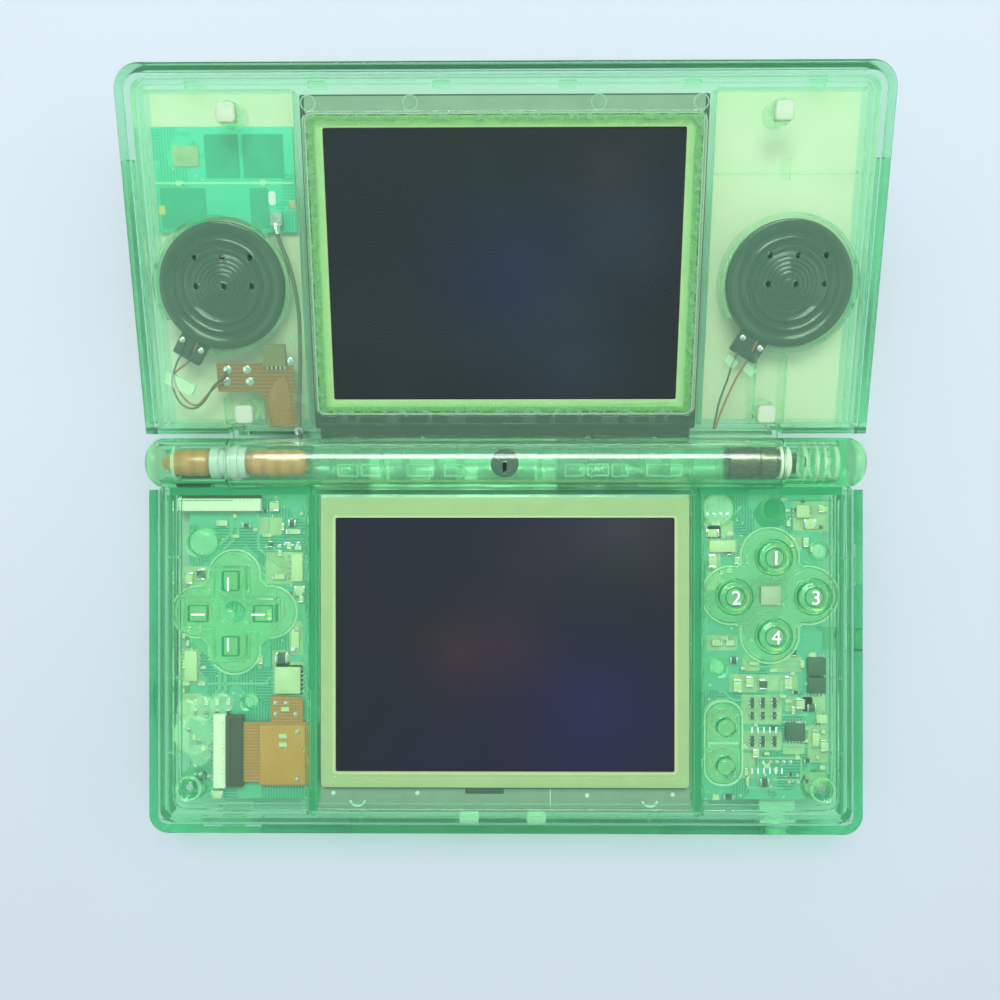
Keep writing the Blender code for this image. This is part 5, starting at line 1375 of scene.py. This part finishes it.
def make_speakers():
    """A ridged face with a rolled edge, a dished cone and a low dome: modelled once, copied for each side."""
    profile = [(10.6, 0.0), (11.2, 0.3), (11.4, 1.4), (11.4, 3.0), (11.2, 3.4), (10.8, 3.55), (10.3, 3.5),
               (9.4, 3.25), (9.1, 3.0), (8.8, 3.0), (8.5, 3.3), (8.1, 3.45), (7.7, 3.3), (7.4, 3.0),
               (7.1, 3.0), (6.8, 3.3), (6.4, 3.4), (6.0, 3.2), (5.7, 3.0)]
    for radius in (5.2, 4.4, 3.6, 2.8, 2.0):
        profile += [(radius, 3.2), (radius - 0.25, 3.25), (radius - 0.45, 3.05)]
    profile += [(1.2, 3.1), (1.0, 3.3), (0.7, 3.4), (0.4, 3.42)]
    face = turned("speaker_can", (0, 0), profile, sides=72)
    for side, x, u in SPEAKERS:
        can = copy_of(face, f"{side}_speaker_can", shift(x, -u, 6.7) @ TURN_OVER)
        place_on_lid(can, SPEAKER, (f"{side}_speaker",), 30)
        tab_at = shift(x - 6.6, -u + 11.2, 0.0, 31)
        parts = [block("tab", both(2.7), (-2.9, 2.2), (3.9, 5.2), corner=0.3, edge=0.2)]
        parts += [block("ear", span(at, 1.4), (-0.4, 1.6), (3.5, 4.2), corner=0.15) for at in both(1.9)]
        parts.append(block("post", both(0.25), (-2.4, 1.8), (3.55, 4.2)))
        tab = joined(f"{side}_speaker_tab", parts)
        tab.data.transform(tab_at)
        place_on_lid(tab, BLACK)
        spots = solder_pads(f"{side}_tab_solder", [(-1.9, 0.7, 0.0), (1.9, 0.7, 0.0)], 0.6, 0.3, 12)
        spots.data.transform(tab_at @ shift(z=3.5) @ TURN_OVER)
        place_on_lid(spots, TIN)
        rim = ring(f"{side}_speaker_wall", (x, -u), 12.4, 11.75, (3.2, 7.9), sides=72)
        cut(rim, block("tab_gap", (x - 12.0, x - 3.0), (-u + 6.0, -u + 14.0), (0, 12)))
        place_on_lid(rim, LID_SHELL)
    bpy.data.objects.remove(face)


def make_aerial():
    left, right, top, low = -62.9, -37.7, 59.6, 41.4
    reach = 12.2
    rise = math.degrees(math.asin((low - 32.0) / reach))
    round_speaker = arc((-51.3, 32.0), reach, 180 - rise, rise, 16)
    outline = [(left, top), (left, low), *round_speaker, (right, low), (right, top)]
    board = lid_flat("aerial_board", outline, (6.9, 7.6), edge=0.08)
    place_on_lid(board, AERIAL, ("antenna_board",))
    pads = [lid_block("pad", x, u, (6.78, 6.95), corner=0.15, corner_steps=2) for x, u in (
        ((-62.7, -61.5), (44.6, 46.2)), ((-39.0, -37.9), (45.6, 47.0)))]
    place_on_lid(joined("aerial_pads", pads), GOLD)
    patch = lid_block("aerial_patch", (-59.4, -54.7), (52.9, 56.4), (6.75, 6.95), corner=0.3)
    place_on_lid(patch, PALE_LAND)
    lands = [lid_block("land", x, u, (6.84, 6.95), corner=0.2, corner_steps=2) for x, u in (
        ((-53.6, -47.5), (50.9, 58.3)), ((-46.8, -39.5), (50.9, 58.3)), ((-62.2, -54.0), (42.2, 49.2)),
        ((-46.0, -42.6), (42.2, 49.2)))]
    place_on_lid(joined("aerial_lands", lands), AERIAL_LAND)
    plug = [lid_block("plug", (-42.3, -40.2), (42.6, 44.9), (5.6, 6.9), corner=0.3, edge=0.1),
            lid_rod("pin", (-41.25, 43.8), 0.9, (5.2, 6.0), sides=24)]
    place_on_lid(joined("aerial_plug", plug), TIN)
    label = lid_block("aerial_label", (-42.6, -41.3), (46.2, 48.6), (6.72, 6.86), corner=0.5)
    place_on_lid(label, WHITE)
    seam = [lid_block("seam", (-62.6, -37.8), span(50.0, 0.35), (5.9, 6.85)),
            lid_block("seam", (37.6, 63.0), span(51.5, 0.35), (6.6, 7.9))]
    pegs = [lid_rod("peg", at, 0.55, (5.7, 6.9), sides=16) for at in ((-58.3, 50.0), (-43.3, 50.0))]
    place_on_lid(joined("seam_ribs", seam + pegs), RIM_LINE)


def make_aerial_cable():
    route = [(-41.2, 42.6, 5.6), (-41.0, 41.2, 5.2), (-40.2, 38.6, 5.0), (-39.2, 36.0, 4.8),
             (-38.1, 31.0, 4.5), (-37.7, 25.5, 4.4), (-37.9, 19.1, 4.4), (-38.3, 13.0, 4.4),
             (-38.6, 8.4, 4.2), (-38.5, 5.4, 3.4), (-38.2, 3.6, 2.5), (-38.0, 2.2, 2.1)]
    place_on_lid(lid_wire("aerial_cable", route, 0.36, 4), BLACK_LEAD, ("antenna_cable",))
    ends = [lid_wire("ferrule", [(-41.3, 42.9, 5.65), (-41.1, 41.9, 5.35), (-40.9, 41.0, 5.15)], 0.7),
            lid_rod("spot", (-38.7, 5.4), 0.8, (3.2, 4.4), sides=20)]
    place_on_lid(joined("cable_ends", ends), TIN)
    clips = [lid_block("clip", (-39.6, -36.4), span(u, 1.6), (3.6, 5.2), corner=0.3) for u in (22.5, 11.5)]
    place_on_lid(joined("cable_clips", clips), LID_SHELL)


def make_leads():
    """Each speaker's two leads, one red and one black."""
    routes = (
        ("left_speaker_lead", BLACK_LEAD, 0.2, ((-59.6, 19.9, 3.7), (-61.0, 17.6, 4.0), (-62.0, 14.4, 4.2),
                                             (-60.9, 10.8, 4.2), (-58.6, 9.6, 4.2), (-56.4, 10.8, 4.1),
                                             (-54.4, 13.6, 4.0), (-52.4, 15.4, 3.9), (-51.7, 16.6, 3.9))),
        ("left_red_lead", RED_LEAD, 0.2, ((-56.4, 22.2, 3.7), (-58.4, 18.6, 4.3), (-61.6, 15.8, 4.5),
                                        (-60.2, 11.6, 4.5), (-57.8, 10.2, 4.5), (-55.4, 12.4, 4.3),
                                        (-53.2, 14.2, 4.0), (-51.9, 14.7, 3.9))),
        ("right_speaker_lead", BLACK_LEAD, 0.2, ((43.1, 20.6, 3.7), (42.0, 17.8, 4.0), (41.2, 14.6, 4.2),
                                              (40.0, 10.8, 4.2), (39.5, 7.6, 4.2), (39.1, 5.6, 3.9))),
        ("right_red_lead", RED_LEAD, 0.2, ((46.4, 22.4, 3.7), (45.0, 19.0, 4.2), (43.0, 15.2, 4.4),
                                         (41.4, 11.4, 4.4), (40.3, 8.4, 4.3), (39.5, 5.6, 3.9))),
    )
    for name, finish, radius, route in routes:
        node = (name,) if name.endswith("speaker_lead") else ()
        place_on_lid(lid_wire(f"{name}_wire", route, radius), finish, node)


def make_lid_flex():
    strip = [(-45.2, 17.6), (-39.4, 17.6), (-39.0, 12.0), (-38.9, 5.9), (-44.4, 5.9), (-45.0, 9.0),
             (-45.6, 12.7), (-53.6, 12.7), (-53.6, 18.1), (-45.2, 18.1)]
    place_on_lid(lid_flat("lid_flex", strip, (4.5, 4.75)), BROWN, ("lid_ribbon",))
    leaf = [(-41.0, 15.8), (-42.6, 14.6), (-44.0, 12.4), (-44.5, 10.2), (-44.1, 8.2), (-43.0, 6.4),
            (-40.4, 6.3), (-40.1, 9.0), (-40.2, 12.6)]
    route = smooth_route([(x, u, 0.0) for x, u in (*leaf, leaf[0])], 6)[:-1]
    leaf = lid_flat("ribbon_leaf", [(x, u) for x, u, _ in route], (4.35, 4.5), edge=0.04)
    place_on_lid(leaf, LEAF)
    socket = lid_block("flex_socket", (-44.6, -40.6), (17.5, 21.5), (3.8, 5.2), corner=0.2)
    place_on_lid(round_edges(socket, 0.12, 1, top_edge), SOCKET)
    feet = [lid_block("foot", span(x, 0.35), (16.9, 17.6), (4.0, 4.4))
            for x in (-44.0, -43.2, -42.4, -41.6, -40.8)]
    place_on_lid(joined("socket_feet", feet), TIN)
    spots = ((-51.5, 16.8), (-47.9, 16.8), (-51.8, 14.6), (-47.5, 14.6), (-42.8, 18.3), (-39.8, 18.3))
    dots = solder_pads("flex_dots", [(x, u, 0.0) for x, u in spots], 0.85, 0.35, 20)
    dots.data.transform(shift(z=4.5) @ TURN_OVER)
    place_on_lid(dots, TIN)
    clips = []
    for x, u, turn, long, wide, corner, edge in (
        (-60.6, 14.3, 28, 2.9, 1.1, 0.4, 0.2), (41.7, 18.2, 40, 1.1, 0.8, 0.3, 0.0),
        (45.2, 16.6, 40, 1.1, 0.8, 0.3, 0.0),
    ):
        clip = block("lead_clip", both(long), both(wide), (3.7, 4.9), corner=corner, edge=edge)
        clip.data.transform(shift(x, -u, 0, turn))
        clips.append(clip)
    place_on_lid(joined("lead_clips", clips), RIM_LINE)


# The lid: ribs, pads and what is in the barrel


SCREW_PADS = (("top_left", -47.8, 61.1), ("top_right", 47.8, 61.1), ("low_left", -48.1, 8.9),
              ("low_right", 48.1, 8.9))


def make_lid_ribs():
    films = [lid_block("film", on_side(side, 37.1, 62.9), (7.0, 65.0), (7.7, 7.8), corner=0.6)
             for side in (-1, 1)]
    place_on_lid(joined("lid_film", films), FILM)
    ribs = [lid_block("rib", span(x, 0.5), (6.8, far), (2.9, 7.9)) for x, far in
            ((-52.0, 11.8), (-44.4, 11.8), (46.0, 19.8), (51.6, 19.8))]
    ribs += [ring("boss", (x, -u), 2.3, 1.0, (2.9, 7.9), sides=32) for _, x, u in SCREW_PADS]
    for side in (-1, 1):
        ribs += [lid_block("rib", on_side(side, *x), u, (low, 7.9)) for x, u, low in (
            ((36.2, 36.7), (6.6, 64.8), 3.4), ((63.0, 63.35), (7.0, 65.0), 4.6),
            ((37.0, 63.0), span(65.2, 0.4), 4.6), ((53.4, 62.8), span(6.9, 0.4), 3.0))]
    ribs.append(lid_block("mark", (49.4, 51.2), (50.2, 54.2), (7.2, 7.9)))
    place_on_lid(joined("lid_ribs", ribs), LID_SHELL)
    snaps = [lid_block("snap", span(x, 3.2), (65.6, 66.8), (5.6, 7.4), corner=0.3) for x in
             (-54.4, -32.7, -11.0, 11.0, 32.7, 54.4)]
    place_on_lid(joined("lid_snaps", snaps), LID_SHELL)
    for side, name in SIDES:
        strip = lid_block(f"{name}_side_strip", on_side(side, 64.95, 66.25), (7.0, 53.6), (2.6, 6.6),
                          corner=0.3)
        place_on_lid(strip, SHELL)


def make_screw_pads():
    first = block("pad", both(1.65), both(1.65), (0.0, 1.6), corner=0.7, edge=0.35, steps=3)
    for name, x, u in SCREW_PADS:
        pad = copy_of(first, f"{name}_bumper", shift(x, -u, 2.0) @ TURN_OVER)
        place_on_lid(pad, RUBBER, (f"{name}_screw_pad",))
    bpy.data.objects.remove(first)


def make_barrel_inside():
    """Ribs that guide the wires, the microphone in its boot and the sprung hinge unit."""
    ribs = []
    for k, x in enumerate((-31.5, -27.0, -22.5, -18.0, -12.5, -8.0, 6.5, 11.0, 16.0, 20.5, 25.0, 29.5, 34.0)):
        disc = rod("disc", (0, 0), 3.32, span(x, 0.6 + 0.5 * (k % 2)), "X", sides=48)
        ribs.append(cut(disc, block("notch", span(x, 4), both(1.3), (-0.6, 6))))
    ribs += [block("shelf", x, both(2.6), (-2.1, -1.7)) for x in
             ((-30.5, -28.0), (-21.0, -14.0), (7.5, 15.0), (21.5, 24.0), (26.5, 33.0))]
    place_on_lid(joined("barrel_ribs", ribs), SHELL)
    liner = rod("barrel_liner", (0, 0), 3.3, (-35.0, 39.8), "X", sides=64)
    windows = [block("window", x, (0.3, 4), (-3.0, 4.0)) for x in
               ((-33.0, -29.0), (-25.5, -21.0), (-17.5, -13.5), (-9.0, -5.0), (5.5, 9.5), (14.0, 18.5),
                (22.5, 26.5), (31.0, 35.0))]
    bore = rod("bore", (0, 0), 2.9, both(60), "X", sides=64)
    cut(liner, bore, rod("mic_room", (0, 0), 2.9, both(5), sides=48), *windows)
    divide(liner, (-35.0, -27.2, -19.2, -11.2, -4.9, 4.9, 11.8, 20.4, 28.8, 37.0))
    place_on_lid(liner, LINER)
    cells = [flat("cell", rounded(x, (-2.45, -0.2), 0.35, 3), (1.15, 1.4),
                  holes=[rounded((x[0] + 0.28, x[1] - 0.28), (-2.17, -0.48), 0.2, 3)]) for x in
             ((-30.8, -26.9), (-26.4, -22.6), (-18.0, -13.0), (-11.2, -7.4), (11.0, 14.7), (15.1, 19.2),
              (19.6, 22.8), (26.0, 32.5))]
    frames = joined("barrel_frames", cells)
    frames.data.transform(Matrix.Translation(AXIS))
    place(frames, "lid", RIM_LINE)
    boot = turned("mic_boot", (0, 0), ((2.0, -0.6), (2.5, -0.4), (2.6, 0.0), (2.6, 0.9), (2.4, 1.3),
                                       (1.6, 1.4), (1.4, 1.25), (0.9, 1.25)))
    cut(boot, block("slit", both(0.28), both(1.25), (0.4, 3)))
    boot.data.transform(TURN_OVER)
    place_on_lid(boot, BLACK, ("microphone",))
    unit = turned("hinge_unit", (0, 0), ((2.6, 40.8), (3.0, 41.2), (3.0, 46.0), (2.7, 46.2), (2.7, 46.6),
                                         (3.0, 46.8), (3.0, 49.6), (2.6, 49.9), (2.6, 50.3)))
    weld(unit, block("key", both(1.1), both(1.8), (50.2, 53.6)))
    unit.data.transform(ALONG_HINGE)
    place_on_lid(unit, GUN, ("hinge_cam",))
    collar = hinge_turned("cam_collar", ((2.3, 50.3), (2.85, 50.4), (2.9, 50.9), (2.9, 51.9), (2.7, 52.3)))
    place_on_lid(collar, CREAM)
    sleeve = hinge_turned("sleeve", ((2.9, -54.1), (2.9, -52.6), (2.5, -52.4), (2.5, -51.6), (2.9, -51.4),
                                     (2.9, -50.4), (3.2, -50.2), (3.2, -49.0), (2.9, -48.9), (2.9, -47.6)))
    cut(sleeve, rod("bore", (0, 0), 2.0, (-60, -40), "X", sides=48))
    place_on_lid(sleeve, MILK, ("hinge_sleeve",))


# The underside, the back and the sides


def keep_nodes():
    """Pieces whose CAD shape is already right get their finish, and the visible ones get softer edges."""
    for finish, width, nodes in (
        (SHELL, 0.15, ("battery_cover", "cartridge_dust_cover")),
        (BUTTON, 0.15, ("left_shoulder_button", "right_shoulder_button")),
        (BUTTON, 0.1, ("power_slider", "volume_slider")),
        (SHELL, 0.1, ("stylus",)),
        (JACK, 0.1, ("headphone_jack", "power_jack")),
        (BLACK, 0.1, ("cartridge_connector",)),
        (BRIGHT_TIN, 0.1, ("card_reader",)),
        (CELL, 0.15, ("battery",)),
        (STEEL, 0.05, ("left_shoulder_pin", "right_shoulder_pin")),
        (STEEL, 0.06, ("front_left_screw", "front_right_screw", "back_left_screw", "back_right_screw",
                       "battery_cover_screw")),
    ):
        for node in nodes:
            piece = soften(copy_node(node, f"{node}_piece"), width)
            place(piece, BODY_OF[node], finish, (node,))


def make_shoulder_springs():
    turns = [2 * math.pi * k / 24 for k in range(73)]
    for side, name in SIDES:
        points = [(side * 47.8 + 1.25 * math.cos(turn), 33.2 + 1.25 * math.sin(turn), 3.0 + k / 24)
                  for k, turn in enumerate(turns)]
        spring = wire(f"{name}_spring", points, 0.15, 2, 1)
        place(spring, "base", STEEL, (f"{name}_shoulder_spring",))


dress_shells()
keep_nodes()
make_board()
make_chips()
make_small_parts()
make_tracks()
make_pale_lands()
make_test_points()
make_switch_contacts()
make_connectors()
make_lower_flex()
make_lower_screen()
make_membranes()
make_round_buttons()
make_direction_pad()
make_panel_print()
make_bay_ribs()
lines_under_panel()
make_hinge_rolls()
make_knuckle_rings()
make_light_pipe()
make_shoulder_springs()
make_upper_screen()
make_speakers()
make_aerial()
make_aerial_cable()
make_leads()
make_lid_flex()
make_lid_ribs()
make_screw_pads()
make_barrel_inside()


# The camera, the table and the light


def make_camera():
    """It looks straight down from above the base's back edge."""
    lens = bpy.data.cameras.new("camera")
    lens.lens = 34.35
    lens.sensor_width = 36.0
    lens.clip_start = 0.01
    camera = new_object("camera", lens)
    camera.location = (0.00074, 0.02537, 0.18943)
    camera.rotation_euler = (-0.00046, 0.00913, -0.0002)
    bpy.context.scene.camera = camera


def make_table():
    pick()
    bpy.ops.mesh.primitive_plane_add(size=3.0, location=(0, 0, -0.0001))
    table = named("table")
    finish = Finish("pale_table")
    tones = (0.3, (0.545, 0.60, 0.645)), (0.7, (0.56, 0.615, 0.66))
    finish.colour(finish.ramp(finish.noise(60.0, 2.0), *tones))
    finish.roughness(finish.ramp(finish.noise(2.0), (0.3, 0.55), (0.7, 0.7)))
    table.data.materials.append(finish.material)


DAYLIGHT = (0.97, 0.99, 1.0)
LOOK_AT = Vector((0.0, 0.03, 0.0))


def lamp(name, at, size, power, colour=(1.0, 1.0, 1.0)):
    light = bpy.data.lights.new(name, "AREA")
    light.shape = "RECTANGLE"
    light.size, light.size_y = size
    light.energy = power
    light.color = colour
    piece = new_object(name, light)
    piece.location = at
    piece.rotation_euler = (LOOK_AT - Vector(at)).to_track_quat("-Z", "Y").to_euler()


def make_light():
    lamp("back_strip", (0.0, 0.36, 0.58), (0.44, 0.20), 3.0)
    lamp("left_box", (-0.55, -0.05, 0.50), (0.45, 0.6), 0.9, DAYLIGHT)
    lamp("right_box", (0.55, 0.0, 0.50), (0.45, 0.6), 1.0, DAYLIGHT)
    room = bpy.data.worlds.new("room")
    bpy.context.scene.world = room
    room.use_nodes = True
    background = room.node_tree.nodes["Background"].inputs
    background["Color"].default_value = (0.82, 0.93, 1.0, 1.0)
    background["Strength"].default_value = 0.64
    bpy.context.scene.view_settings.view_transform = "Standard"


make_camera()
make_table()
make_light()
